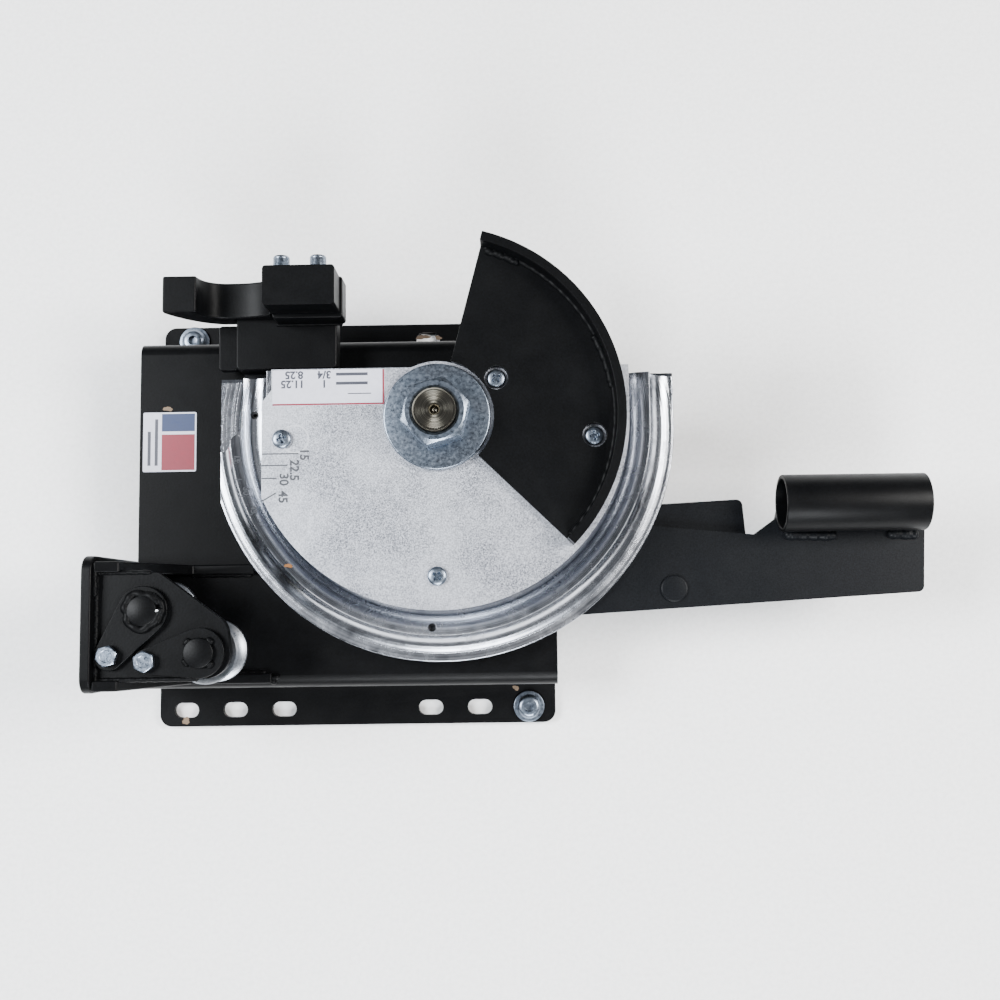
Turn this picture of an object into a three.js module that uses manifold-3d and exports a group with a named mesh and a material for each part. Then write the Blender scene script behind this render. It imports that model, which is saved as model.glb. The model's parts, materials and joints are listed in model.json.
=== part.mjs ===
// Bench-top manual tube bender: a hat-section base, a stepped two-groove bending die that turns
// on a pivot stud with its lever and hook, and a pair of follower rollers in a welded carrier.
// Millimetres, +Z up. The working frame has its origin on the pivot axis, at the bench surface.

import * as THREE from 'three';
import { mergeVertices } from 'three/addons/utils/BufferGeometryUtils.js';
import Module from 'manifold-3d';

const wasm = await Module();
wasm.setup();

// ---------------------------------------------------------------- driving dimensions

const GAP = 0.3;                       // clearance between pieces that touch

// base: sheet bent to a hat section that runs along X
const SHEET = 4.76;
const BASE_LENGTH = 265;
const BASE_WIDTH = 272;
const FRONT_FLANGE = 28;               // flange's outer edge to its wall's outer face
const REAR_FLANGE = 22.5;
const DECK_TOP = 57.15;
const BEND_RADIUS = 8;
const FLANGE_CORNER = 8;
const BASE_MIDDLE_Y = -53.4;           // centre line of the base, from the pivot
const SLOT_LENGTH = 16.5;
const SLOT_WIDTH = 10;
const SLOT_PITCH = 32.8;
const SLOT_EDGE = 10.7;                // slot centre line to the flange's outer edge
const SLOT_PLACES = [-3.5, -2.5, -1.5, 1.5, 2.5, 3.5];
const BENCH_SCREW_SLOTS = [5, 6];      // the slots that hold a bench screw, counted from the front
const REAR_SCREW_SHIFT = [3, 0.6];     // the rear screw, from the middle of its slot
const BENCH_SCREW_RADIUS = 4;
const BENCH_SCREW_HEAD = 8;
const BENCH_WASHER_RADIUS = 10.2;
const BENCH_WASHER_THICKNESS = 1.6;

// pivot
const STUD_RADIUS = 12.7;
const STUD_PAST_NUT = 3;
const STUD_FLANGE_RADIUS = 34;
const STUD_FLANGE = 9;
const THRUST_RADIUS = 30;
const THRUST_THICKNESS = 3.2;
const WASHER_RADIUS = 31.75;
const WASHER_THICKNESS = 4.5;
const NUT_FLATS = 36;
const NUT_HEIGHT = 21.5;
const NUT_TURN = 16;                   // degrees the nut's flats stand round from X
const PIVOT_BUSH_WALL = 3;

// lever
const LEVER_THICKNESS = 4.76;
const LEVER_DISC_RADIUS = 100;
const LEVER_PIN_Y = -102.7;            // pin through the lever's arm, from the pivot
const LEVER_PIN_OUT = 30.95;           // that pin, outside the large bend's radius
const LEVER_PIN_RADIUS = 6;
const LEVER_PIN_HEAD = 8.3;
const LEVER_END = 300;
const LEVER_LOW_EDGE = -122.8;         // lower edge of the arm, carried on to the pivot's X
const LEVER_SLOPE = 3.1;               // degrees between the arm's lower edge and X
const ARM_TOP_EDGE = -69.6;            // upper edge of the arm beside the socket
const STIFFENER_THICKNESS = 3.1;
const STIFFENER_END = 189;
const SOCKET_RADIUS = 17.5;
const SOCKET_WALL = 2.4;
const SOCKET_LENGTH = 87;
const SOCKET_INSET = 4.6;              // the socket's end, inside the arm's end
const SOCKET_Y = -52;                  // the socket's axis, from the pivot

// bending die: radii of the tube centre lines and of the tubes
const LARGE_BEND = 146;
const LARGE_TUBE = 14.75;
const SMALL_BEND = 114.3;
const SMALL_TUBE = 11.7;
const LIP_THICKNESS = 4.5;
const LEDGE_RISE = 1.25;               // ledge above the middle of the large tube
const SMALL_FLOOR_DROP = 4;            // floor of the small groove below the ledge
const PLATE_THICKNESS = 3.2;
const DIE_REAR = 32.5;
const UPPER_REAR = 30.4;
const DIE_FLAT_INSET = 7.6;            // left flat, inside the large bend's radius
const LEDGE_INSET = 24.7;              // left end of the ledge, inside the large bend's radius
const PLATE_INSET = 9.7;               // left edge of the plate, inside the small bend's radius
const NOTCH_INSET = 15.4;              // notch in that edge, inside the small bend's radius
const TAPPED_RADIUS = 2.5;
const TAPPED_DEPTH = 9;

// guard over the die's right side
const GUARD_THICKNESS = 4.8;
const GUARD_FROM = -44.2;
const GUARD_TO = 75.2;
const GUARD_INSET = 3.3;               // guard, inside the small bend's radius
const GUARD_INNER = 34;
const RIM_THICKNESS = 5.5;
const RIM_HEIGHT = 18.9;

// screws
const SCREW_SHANK = 3;
const SCREW_HEAD = 5.6;
const SCREW_HEAD_HEIGHT = 2.9;
const SCREW_INSETS = [21.15, 20, 20.45];             // the outer screws, inside the small bend's radius
const SCREW_OUT = 10.2;                              // the inner screw, outside the pivot washer
const SCREW_ANGLES = [187.28, 269.57, 32.44, -7.72]; // degrees from X, round the pivot
const GUARD_HOLE = 7.2;

// hook, beside the die's left straight
const HOOK_INSET = 19;                 // base block's left face, inside the large bend's radius
const HOOK_BASE_LENGTH = 63;
const HOOK_BASE_HEIGHT = 14.8;         // above the die's underside
const HOOK_FRONT = 36.5;
const HOOK_REAR = 90.5;
const HOOK_BLOCK_INSET = 24.3;         // upper block's left face, from the base block's
const HOOK_BLOCK_LENGTH = 43;
const HOOK_BLOCK_FRONT = 67;
const HOOK_LOWER_HEIGHT = 17;
const HOOK_BLOCK_HEIGHT = 40;
const GROOVE_BLOCK_LENGTH = 12.4;
const GROOVE_BLOCK_REAR = 66.5;
const HOOK_SCREW_RADIUS = 3;
const HOOK_SCREW_HEAD = 5;
const HOOK_SCREW_DEPTH = 16;
const SADDLE_REACH = 21;               // the tooth's tip, past the large tube's centre line
const SADDLE_FRONT = 68;
const SADDLE_TOOTH_RISE = 18.5;        // above the middle of the large tube
const SADDLE_SEAT_RISE = 0.5;

// roller carrier
const CARRIER_PLATE = 6.35;
const CARRIER_HEIGHT = 69.85;          // above the deck
const CARRIER_DEPTH = 32;              // below the deck's top
const CARRIER_BACK = 34.9;             // end plate's outer face to the large roller's pin
const END_PLATE_OVERHANG = 11;         // end plate's outer face, past the base's end
const CARRIER_REAR_MARGIN = 32.4;      // large roller's pin to the end plate's rear edge
const CARRIER_FRONT_MARGIN = 22.6;     // small roller's pin to the end plate's front edge
const TOP_PLATE_HEIGHT = 62.35;        // above the deck
const GUSSET_INSET = 3.6;
const FRONT_GUSSET_INSET = 1.2;
const GUSSET_LOW = 3.3;                // height of the gussets' low bars above the deck
const REAR_BAR_LENGTH = 79.35;
const FRONT_BAR_LENGTH = 90.35;
const PIN_RADIUS = 5.5;
const PIN_HEAD = 8.8;
const LARGE_PIN_Y = -112.4;
const SMALL_PIN_Y = -136.8;
const TUBE_PLAY = 0.4;                 // between a tube and its roller's groove
const LARGE_ROLLER = 18.4;
const SMALL_ROLLER = 18.9;
const LARGE_ROLLER_WALL = 0.95;        // metal between the groove and the bore
const SMALL_ROLLER_WALL = 2.8;
const LARGE_ROLLER_HEIGHT = 36;
const SMALL_ROLLER_HEIGHT = 28;
const BUSH_WALL = 1.6;
const SPACER_WALL = 3.2;
const KEEPER_THICKNESS = 3.2;
const KEEPER_BOLT_STEPS = [[-19.3, -25.5], [-30.8, -4.5]];   // each bolt, from its roller's pin
const KEEPER_BOLT_RADIUS = 3.2;
const KEEPER_BOLT_FLATS = 11.1;
const KEEPER_BOLT_HEAD = 4.4;
const KEEPER_END = 14.5;
const KEEPER_TAIL = 8.6;

// ---------------------------------------------------------------- levels worked out from them

const DECK_UNDER = DECK_TOP - SHEET;
const STIFFENER_Z = DECK_TOP + 2 * GAP;
const LEVER_Z = STIFFENER_Z + STIFFENER_THICKNESS + GAP;
const LEVER_TOP = LEVER_Z + LEVER_THICKNESS;
const DIE_Z = LEVER_TOP + GAP;
const LARGE_FLOOR = DIE_Z + LIP_THICKNESS;
const LARGE_CENTRE = LARGE_FLOOR + LARGE_TUBE;
const LEDGE_Z = LARGE_CENTRE + LEDGE_RISE;
const SMALL_FLOOR = LEDGE_Z - SMALL_FLOOR_DROP;
const SMALL_CENTRE = SMALL_FLOOR + SMALL_TUBE;
const DIE_TOP = SMALL_FLOOR + 2 * SMALL_TUBE + GAP;
const PLATE_Z = DIE_TOP + GAP;
const PLATE_TOP = PLATE_Z + PLATE_THICKNESS;
const WASHER_Z = PLATE_TOP + GAP;
const NUT_Z = WASHER_Z + WASHER_THICKNESS + GAP;
const STUD_TOP = NUT_Z + NUT_HEIGHT + STUD_PAST_NUT;
const STUD_CLEAR = STUD_RADIUS + GAP;
const TOP_PLATE_Z = DECK_TOP + TOP_PLATE_HEIGHT;
const CARRIER_TOP = DECK_TOP + CARRIER_HEIGHT;
const HOOK_BASE_TOP = DIE_Z + HOOK_BASE_HEIGHT;
const HOOK_TOP = HOOK_BASE_TOP + HOOK_BLOCK_HEIGHT;
const SADDLE_TOOTH_TOP = LARGE_CENTRE + SADDLE_TOOTH_RISE;
const SADDLE_SEAT = LARGE_CENTRE + SADDLE_SEAT_RISE;

// ---------------------------------------------------------------- places worked out from them

const degrees = (angle) => angle * Math.PI / 180;
const DIE_LEFT_FLAT = DIE_FLAT_INSET - LARGE_BEND;
const LEDGE_LEFT = LEDGE_INSET - LARGE_BEND;
const PLATE_LEFT = PLATE_INSET - SMALL_BEND;
const PLATE_NOTCH = NOTCH_INSET - SMALL_BEND;
const GUARD_RADIUS = SMALL_BEND - GUARD_INSET;
const [leftInset, frontInset, rightInset] = SCREW_INSETS;
const screwRadii = [
  SMALL_BEND - leftInset, SMALL_BEND - frontInset, WASHER_RADIUS + SCREW_OUT, SMALL_BEND - rightInset];
const PLATE_SCREWS = SCREW_ANGLES.map((angle, i) => [
  screwRadii[i] * Math.cos(degrees(angle)), screwRadii[i] * Math.sin(degrees(angle))]);
const PIN_PLACE = [Math.sqrt((LARGE_BEND + LEVER_PIN_OUT) ** 2 - LEVER_PIN_Y ** 2), LEVER_PIN_Y];
const HOOK_LEFT = HOOK_INSET - LARGE_BEND;
const HOOK_RIGHT = HOOK_LEFT + HOOK_BASE_LENGTH;
const HOOK_BLOCK_LEFT = HOOK_LEFT + HOOK_BLOCK_INSET;
const HOOK_BLOCK_RIGHT = HOOK_BLOCK_LEFT + HOOK_BLOCK_LENGTH;
const SADDLE_TIP = -LARGE_BEND - SADDLE_REACH;
const BUSH_OUTER = PIN_RADIUS + GAP + BUSH_WALL;
const ROLLER_BORE = BUSH_OUTER + 2 * GAP;
const pinPlace = (bend, tube, wall, y) => [-(bend + tube + TUBE_PLAY + ROLLER_BORE + wall), y];
const LARGE_PIN = pinPlace(LARGE_BEND, LARGE_TUBE, LARGE_ROLLER_WALL, LARGE_PIN_Y);
const SMALL_PIN = pinPlace(SMALL_BEND, SMALL_TUBE, SMALL_ROLLER_WALL, SMALL_PIN_Y);
const KEEPER_BOLTS = [LARGE_PIN, SMALL_PIN].map(([x, y], i) => (
  [x + KEEPER_BOLT_STEPS[i][0], y + KEEPER_BOLT_STEPS[i][1]]));
const CARRIER_LEFT = LARGE_PIN[0] - CARRIER_BACK;
const CARRIER_REAR = LARGE_PIN_Y + CARRIER_REAR_MARGIN;
const CARRIER_FRONT = SMALL_PIN_Y - CARRIER_FRONT_MARGIN;
const BASE_LEFT = CARRIER_LEFT + END_PLATE_OVERHANG;
const BASE_MIDDLE_X = BASE_LEFT + BASE_LENGTH / 2;

// ---------------------------------------------------------------- materials

const BLACK_PAINT = { color: 0x1c1c1f, roughness: 0.5, metalness: 0.2 };
const ALUMINIUM = { color: 0xc9cbce, roughness: 0.32, metalness: 1 };
const ZINC = { color: 0xb9bcc0, roughness: 0.35, metalness: 1 };
const BRONZE = { color: 0xa9793f, roughness: 0.4, metalness: 1 };
const BRIGHT_STEEL = { color: 0xa8abae, roughness: 0.28, metalness: 1 };

const LABEL = { color: 0xe9e9ea, roughness: 0.45, metalness: 0 };

const model = new THREE.Group();
const bench = new THREE.Group();       // the working frame, moved to the base's middle at the end
model.add(bench);

function addPart(name, geometry, finish) {
  const mesh = new THREE.Mesh(geometry, new THREE.MeshStandardMaterial(finish));
  mesh.name = name;
  bench.add(mesh);
  return mesh;
}

// ---------------------------------------------------------------- geometry helpers

function toSolid(geometry) {
  const bare = geometry.index ? geometry.toNonIndexed() : geometry.clone();
  bare.deleteAttribute('normal');
  bare.deleteAttribute('uv');
  const merged = mergeVertices(bare, 1e-4);
  return new wasm.Manifold(new wasm.Mesh({
    numProp: 3,
    vertProperties: new Float32Array(merged.attributes.position.array),
    triVerts: new Uint32Array(merged.index.array),
  }));
}

function fromSolid(solid) {
  const mesh = solid.getMesh();
  const geometry = new THREE.BufferGeometry();
  geometry.setAttribute('position', new THREE.BufferAttribute(mesh.vertProperties, 3));
  geometry.setIndex(new THREE.BufferAttribute(mesh.triVerts, 1));
  return geometry;
}

function cut(blank, ...cutters) {
  return fromSolid(cutters.reduce((rest, cutter) => rest.subtract(toSolid(cutter)), toSolid(blank)));
}

function join(...pieces) {
  return fromSolid(pieces.map(toSolid).reduce((sum, solid) => sum.add(solid)));
}

function overlapOf(first, second) {
  return fromSolid(toSolid(first).intersect(toSolid(second)));
}

// a flat shape in plan, raised from z0 to z1
function slab(shape, z0, z1, curveSegments = 12) {
  const settings = { depth: z1 - z0, bevelEnabled: false, curveSegments };
  return new THREE.ExtrudeGeometry(shape, settings).translate(0, 0, z0);
}

// a shape drawn in X and Z, carried along Y from y0 to y1
function slabAlongY(shape, y0, y1, curveSegments = 12) {
  const settings = { depth: y1 - y0, bevelEnabled: false, curveSegments };
  return new THREE.ExtrudeGeometry(shape, settings).rotateX(Math.PI / 2).translate(0, y1, 0);
}

function polygon(points) {
  return new THREE.Shape(points.map(([x, y]) => new THREE.Vector2(x, y)));
}

// a polygon whose corners are rounded with the radii given beside their points
function roundedPolygon(corners) {
  const shape = new THREE.Shape();
  const count = corners.length;
  corners.forEach(([x, y, radius = 0], i) => {
    const here = new THREE.Vector2(x, y);
    const before = new THREE.Vector2(...corners[(i + count - 1) % count].slice(0, 2));
    const after = new THREE.Vector2(...corners[(i + 1) % count].slice(0, 2));
    const back = before.sub(here).normalize();
    const ahead = after.sub(here).normalize();
    const half = Math.acos(THREE.MathUtils.clamp(back.dot(ahead), -1, 1)) / 2;
    const reach = radius / Math.tan(half);
    const enter = here.clone().addScaledVector(back, reach);
    const leave = here.clone().addScaledVector(ahead, reach);
    if (i === 0) shape.moveTo(enter.x, enter.y);
    else shape.lineTo(enter.x, enter.y);
    if (radius > 0) {
      const inward = back.clone().add(ahead).normalize();
      const centre = here.clone().addScaledVector(inward, radius / Math.sin(half));
      const from = Math.atan2(enter.y - centre.y, enter.x - centre.x);
      const to = Math.atan2(leave.y - centre.y, leave.x - centre.x);
      const clockwise = back.cross(ahead) > 0;
      shape.absarc(centre.x, centre.y, radius, from, to, clockwise);
    }
  });
  shape.closePath();
  return shape;
}

function roundedBox([x0, x1], [y0, y1], [z0, z1], radius) {
  const corners = [[x0, y0, radius], [x1, y0, radius], [x1, y1, radius], [x0, y1, radius]];
  return slab(roundedPolygon(corners), z0, z1, 4);
}

function disc(radius, z0, z1, x = 0, y = 0, segments = 32) {
  return new THREE.CylinderGeometry(radius, radius, z1 - z0, segments)
    .rotateX(Math.PI / 2).translate(x, y, (z0 + z1) / 2);
}

// a profile of radius and height pairs turned round the Z axis
function turned(profile, segments = 32) {
  const points = profile.map(([radius, height]) => new THREE.Vector2(radius, height));
  if (profile[0][0] > 0) points.push(points[0].clone());
  return new THREE.LatheGeometry(points, segments).rotateX(Math.PI / 2);
}

function ring(inner, outer, z0, z1, segments = 32) {
  return turned([[inner, z0], [outer, z0], [outer, z1], [inner, z1]], segments);
}

// points of an arc about a centre, from one angle to another in degrees
function arcPoints(centreX, centreY, radius, from, to, steps) {
  return Array.from({ length: steps + 1 }, (_, i) => {
    const angle = degrees(from + (to - from) * i / steps);
    return [centreX + radius * Math.cos(angle), centreY + radius * Math.sin(angle)];
  });
}

function hexPrism(flats, z0, z1) {
  return disc(flats / Math.sqrt(3), z0, z1, 0, 0, 6);
}

function slotShape(length, width, x, y) {
  const r = width / 2;
  const shape = new THREE.Shape();
  shape.absarc(x + length / 2 - r, y, r, -Math.PI / 2, Math.PI / 2, false);
  shape.absarc(x - length / 2 + r, y, r, Math.PI / 2, 3 * Math.PI / 2, false);
  return shape;
}

// a teardrop: two circles and their common tangents
function teardrop([x0, y0], r0, [x1, y1], r1) {
  const along = Math.atan2(y1 - y0, x1 - x0);
  const spread = Math.acos((r0 - r1) / Math.hypot(x1 - x0, y1 - y0));
  const shape = new THREE.Shape();
  shape.absarc(x0, y0, r0, along + spread, along - spread + 2 * Math.PI, false);
  shape.absarc(x1, y1, r1, along - spread, along + spread, false);
  return shape;
}

// ---------------------------------------------------------------- base

const flangeSlots = [];
for (const side of [-1, 1]) {
  for (const place of SLOT_PLACES) {
    flangeSlots.push({
      x: BASE_MIDDLE_X + place * SLOT_PITCH,
      y: BASE_MIDDLE_Y + side * (BASE_WIDTH / 2 - SLOT_EDGE),
    });
  }
}

function hatSection() {
  const edge = BASE_WIDTH / 2;
  const front = edge - FRONT_FLANGE;
  const rear = edge - REAR_FLANGE;
  const inner = BEND_RADIUS - SHEET;
  const above = (wall) => [
    [edge, 0], [edge, SHEET],
    ...arcPoints(wall + inner, SHEET + inner, inner, 270, 180, 3),
    ...arcPoints(wall - BEND_RADIUS, DECK_TOP - BEND_RADIUS, BEND_RADIUS, 0, 90, 5),
  ];
  const under = (wall) => [
    ...arcPoints(wall - SHEET - inner, DECK_UNDER - inner, inner, 90, 0, 3),
    ...arcPoints(wall + inner, BEND_RADIUS, BEND_RADIUS, 180, 270, 4),
  ];
  const mirror = (points) => points.map(([y, z]) => [-y, z]).reverse();
  return polygon([...above(rear), ...mirror(above(front)), ...mirror(under(front)), ...under(rear)]);
}

function baseChannel() {
  const hat = new THREE.ExtrudeGeometry(hatSection(), { depth: BASE_LENGTH, bevelEnabled: false })
    .rotateX(Math.PI / 2).rotateZ(Math.PI / 2).translate(BASE_LEFT, BASE_MIDDLE_Y, 0);
  const outline = roundedPolygon([
    [BASE_LEFT, BASE_MIDDLE_Y - BASE_WIDTH / 2, FLANGE_CORNER],
    [BASE_LEFT + BASE_LENGTH, BASE_MIDDLE_Y - BASE_WIDTH / 2, FLANGE_CORNER],
    [BASE_LEFT + BASE_LENGTH, BASE_MIDDLE_Y + BASE_WIDTH / 2, FLANGE_CORNER],
    [BASE_LEFT, BASE_MIDDLE_Y + BASE_WIDTH / 2, FLANGE_CORNER],
  ]);
  const trimmed = overlapOf(hat, slab(outline, -1, DECK_TOP + 1, 6));
  const slots = flangeSlots.map(({ x, y }) => (
    slab(slotShape(SLOT_LENGTH, SLOT_WIDTH, x, y), -1, SHEET + 1, 4)));
  const studHole = disc(STUD_CLEAR, DECK_UNDER - 1, DECK_TOP + 1, 0, 0, 32);
  const pinHoles = [LARGE_PIN, SMALL_PIN].map(([x, y]) => (
    disc(PIN_RADIUS + GAP, DECK_UNDER - 1, DECK_TOP + 1, x, y, 20)));
  return cut(trimmed, ...slots, studHole, ...pinHoles);
}

addPart('base_channel', baseChannel(), BLACK_PAINT);

function benchScrew(name, place) {
  const washerZ = SHEET + GAP;
  const head = washerZ + BENCH_WASHER_THICKNESS + GAP;
  const bore = BENCH_SCREW_RADIUS + 1;
  const washer = addPart(`${name}_washer`,
    ring(bore, BENCH_WASHER_RADIUS, 0, BENCH_WASHER_THICKNESS, 20), ZINC);
  washer.position.set(place.x, place.y, washerZ);
  const screw = addPart(name, turned([
    [0, 0.4], [BENCH_SCREW_RADIUS, 0.4], [BENCH_SCREW_RADIUS, head], [BENCH_SCREW_HEAD, head],
    [BENCH_SCREW_HEAD, head + 1.2], [BENCH_SCREW_HEAD - 1.4, head + 3.4],
    [BENCH_SCREW_HEAD - 4.8, head + 4.4], [BENCH_SCREW_HEAD - 4.8, head + 1.6], [0, head + 1.6]], 14), ZINC);
  screw.position.set(place.x, place.y, 0);
}

const rearSlot = flangeSlots[BENCH_SCREW_SLOTS[1]];
benchScrew('bench_screw_front', flangeSlots[BENCH_SCREW_SLOTS[0]]);
benchScrew('bench_screw_rear', { x: rearSlot.x + REAR_SCREW_SHIFT[0], y: rearSlot.y + REAR_SCREW_SHIFT[1] });

// ---------------------------------------------------------------- pivot

const studFlangeTop = DECK_UNDER - GAP;
const thrustZ = DECK_TOP + GAP;

addPart('pivot_stud', turned([
  [0, studFlangeTop - STUD_FLANGE], [STUD_FLANGE_RADIUS, studFlangeTop - STUD_FLANGE],
  [STUD_FLANGE_RADIUS, studFlangeTop], [STUD_RADIUS, studFlangeTop],
  [STUD_RADIUS, STUD_TOP - 1.2], [STUD_RADIUS - 1.2, STUD_TOP],
  [3.3, STUD_TOP], [1.2, STUD_TOP - 4], [0, STUD_TOP - 4.6],
], 32), BRIGHT_STEEL);
addPart('thrust_washer', ring(STUD_CLEAR, THRUST_RADIUS, thrustZ, thrustZ + THRUST_THICKNESS), BRONZE);
addPart('pivot_bush', ring(STUD_CLEAR, STUD_CLEAR + PIVOT_BUSH_WALL, DIE_Z, DIE_TOP), BRONZE);
addPart('pivot_washer', ring(STUD_CLEAR, WASHER_RADIUS, WASHER_Z, WASHER_Z + WASHER_THICKNESS, 40), ZINC);

function pivotNut() {
  const top = NUT_Z + NUT_HEIGHT;
  const corner = NUT_FLATS * 0.59;
  const chamfer = turned([
    [0, NUT_Z], [NUT_FLATS * 0.49, NUT_Z], [corner, NUT_Z + 2],
    [corner, top - 2.6], [NUT_FLATS * 0.48, top], [0, top],
  ], 24);
  return cut(overlapOf(hexPrism(NUT_FLATS, NUT_Z, top), chamfer), disc(STUD_CLEAR, NUT_Z - 1, top + 1));
}

addPart('pivot_nut', pivotNut(), ZINC).rotation.z = degrees(NUT_TURN);

// ---------------------------------------------------------------- lever

const slope = Math.tan(degrees(LEVER_SLOPE));
const lowEdge = (x) => LEVER_LOW_EDGE + x * slope;
const SOCKET_X = LEVER_END - SOCKET_INSET - SOCKET_LENGTH;
const SOCKET_Z = LEVER_TOP + GAP + SOCKET_RADIUS;

function leverPlate() {
  const armEnd = LEVER_END - 1;
  const stiffenerLine = STIFFENER_END - 2;
  const arm = roundedPolygon([
    [0, lowEdge(0) + 30], [60, lowEdge(60)], [armEnd, lowEdge(armEnd), 4], [LEVER_END + 2, SOCKET_Y],
    [SOCKET_X + 2, SOCKET_Y], [SOCKET_X, SOCKET_Y - 8],
    [stiffenerLine + 8, ARM_TOP_EDGE, 2], [stiffenerLine, ARM_TOP_EDGE + 0.7],
    [60, ARM_TOP_EDGE + 13.1], [0, 0],
  ]);
  const earRight = HOOK_RIGHT - 1;
  const earRear = HOOK_REAR - 4;
  const ear = roundedPolygon([
    [HOOK_LEFT + 2, -20], [earRight, -20], [earRight, earRear, 6], [HOOK_LEFT + 2, earRear, 6]]);
  const behindDie = polygon([[-200, UPPER_REAR - 1], [200, UPPER_REAR - 1], [200, 200], [-200, 200]]);
  const round = cut(disc(LEVER_DISC_RADIUS, LEVER_Z, LEVER_TOP, 0, 0, 48), slab(behindDie, 0, 200));
  const blank = join(round, slab(arm, LEVER_Z, LEVER_TOP, 5), slab(ear, LEVER_Z, LEVER_TOP, 4));
  const hole = (radius, [x, y], segments) => disc(radius + GAP, LEVER_Z - 1, LEVER_TOP + 1, x, y, segments);
  return cut(blank, hole(THRUST_RADIUS, [0, 0], 32), hole(LEVER_PIN_RADIUS, PIN_PLACE, 16),
    ...PLATE_SCREWS.map((place) => hole(SCREW_SHANK, place, 12)));
}

addPart('lever_plate', leverPlate(), BLACK_PAINT);
addPart('lever_spacer', ring(STUD_CLEAR, THRUST_RADIUS, LEVER_Z, LEVER_TOP), BRONZE);

function leverStiffener() {
  const outline = roundedPolygon([
    [70, -86], [STIFFENER_END + 3, -86, 3], [STIFFENER_END, -46.8, 4], [104, -50.9],
  ]);
  return slab(outline, STIFFENER_Z, STIFFENER_Z + STIFFENER_THICKNESS, 5);
}

addPart('lever_stiffener', leverStiffener(), BLACK_PAINT);

const leverPin = addPart('lever_pin', turned([
  [0, STIFFENER_Z], [LEVER_PIN_RADIUS + 2, STIFFENER_Z], [LEVER_PIN_RADIUS + 2, LEVER_Z - GAP],
  [LEVER_PIN_RADIUS, LEVER_Z - GAP], [LEVER_PIN_RADIUS, LEVER_TOP + GAP], [LEVER_PIN_HEAD, LEVER_TOP + GAP],
  [LEVER_PIN_HEAD, LEVER_TOP + 1], [LEVER_PIN_HEAD - 0.7, LEVER_TOP + 1.6], [0, LEVER_TOP + 1.6],
], 20), BLACK_PAINT);
leverPin.position.set(...PIN_PLACE, 0);

const socket = addPart('handle_socket',
  ring(SOCKET_RADIUS - SOCKET_WALL, SOCKET_RADIUS, 0, SOCKET_LENGTH), BLACK_PAINT);
socket.rotation.y = Math.PI / 2;
socket.position.set(SOCKET_X, SOCKET_Y, SOCKET_Z);

// ---------------------------------------------------------------- bending die

// a section of radius and height pairs, carried down the left straight, round the half circle and
// up the right straight, and closed by flat faces below, above and at the rear
function sweptDie(section, rear, steps) {
  const path = (r) => [[-r, rear], ...arcPoints(0, 0, r, 180, 360, steps), [r, rear]];
  const rows = section.map(([r, z]) => path(r).map(([x, y]) => [x, y, z]));
  const count = rows[0].length;
  const positions = rows.flat(2);
  const triangles = [];
  for (let i = 0; i + 1 < rows.length; i += 1) {
    for (let k = 0; k + 1 < count; k += 1) {
      const a = i * count + k;
      triangles.push(a, a + 1, a + count + 1, a, a + count + 1, a + count);
    }
  }
  const cap = (points, index, flip) => {
    const flat = points.map(([x, y]) => new THREE.Vector2(x, y));
    for (const [a, b, c] of THREE.ShapeUtils.triangulateShape(flat, [])) {
      const face = [index(a), index(b), index(c)];
      triangles.push(...(flip ? face.reverse() : face));
    }
  };
  cap(path(section[0][0]), (k) => k, true);
  cap(path(section.at(-1)[0]), (k) => (rows.length - 1) * count + k, false);
  const rearFace = [...section.map(([r, z]) => [-r, z]), ...section.map(([r, z]) => [r, z]).reverse()];
  const rearIndex = (k) => (k < rows.length ? k * count : (2 * rows.length - 1 - k) * count + count - 1);
  cap(rearFace, rearIndex, true);
  const geometry = new THREE.BufferGeometry();
  geometry.setAttribute('position', new THREE.Float32BufferAttribute(positions, 3));
  geometry.setIndex(triangles);
  return geometry;
}

function bendingDie() {
  const largeWall = LARGE_BEND - LARGE_TUBE - 2.6;
  const section = [
    [LARGE_BEND - 0.8, DIE_Z], [LARGE_BEND, DIE_Z + 0.8], [LARGE_BEND, LARGE_FLOOR - 0.4],
    ...arcPoints(LARGE_BEND - 0.6, LARGE_CENTRE, LARGE_TUBE, 270, 180, 5),
    [largeWall, LEDGE_Z],
    ...arcPoints(SMALL_BEND, SMALL_CENTRE, SMALL_TUBE, 311, 180, 6),
    [SMALL_BEND - SMALL_TUBE, DIE_TOP],
  ];
  const side = LARGE_BEND - 1;
  const rearLip = slab(polygon([
    [-side, UPPER_REAR - 1], [side, UPPER_REAR - 1], [side, DIE_REAR], [-side, DIE_REAR],
  ]), DIE_Z + 0.2, LARGE_FLOOR - 0.2);
  const body = join(sweptDie(section, UPPER_REAR, 40), rearLip);
  const far = 2 * LARGE_BEND;
  const leftFlat = slab(polygon([
    [-far, -far], [DIE_LEFT_FLAT, -far], [DIE_LEFT_FLAT, far], [-far, far]]), 0, far);
  const ledgeTrim = slab(polygon([
    [-far, far], [-far, -13.7], [LEDGE_LEFT - 13.3, -13.7], [LEDGE_LEFT, -0.4], [LEDGE_LEFT, far],
  ]), LARGE_FLOOR + 0.25, far);
  const screws = PLATE_SCREWS.map(([x, y]) => (
    disc(SCREW_SHANK + GAP, DIE_Z - 1, DIE_TOP + 1, x, y, 12)));
  const tappedHoles = [[-SMALL_BEND - 0.3, 7.5, SMALL_FLOOR], [-5.7, 21.4 - LARGE_BEND, LEDGE_Z]];
  const tapped = tappedHoles.map(([x, y, top]) => (
    disc(TAPPED_RADIUS, top - TAPPED_DEPTH, top + 4, x, y, 10)));
  return cut(body, leftFlat, ledgeTrim, ...screws, ...tapped, bushHole(DIE_Z, DIE_TOP));
}

function bushHole(z0, z1) {
  return disc(STUD_CLEAR + PIVOT_BUSH_WALL + GAP, z0 - 1, z1 + 1);
}

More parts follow.
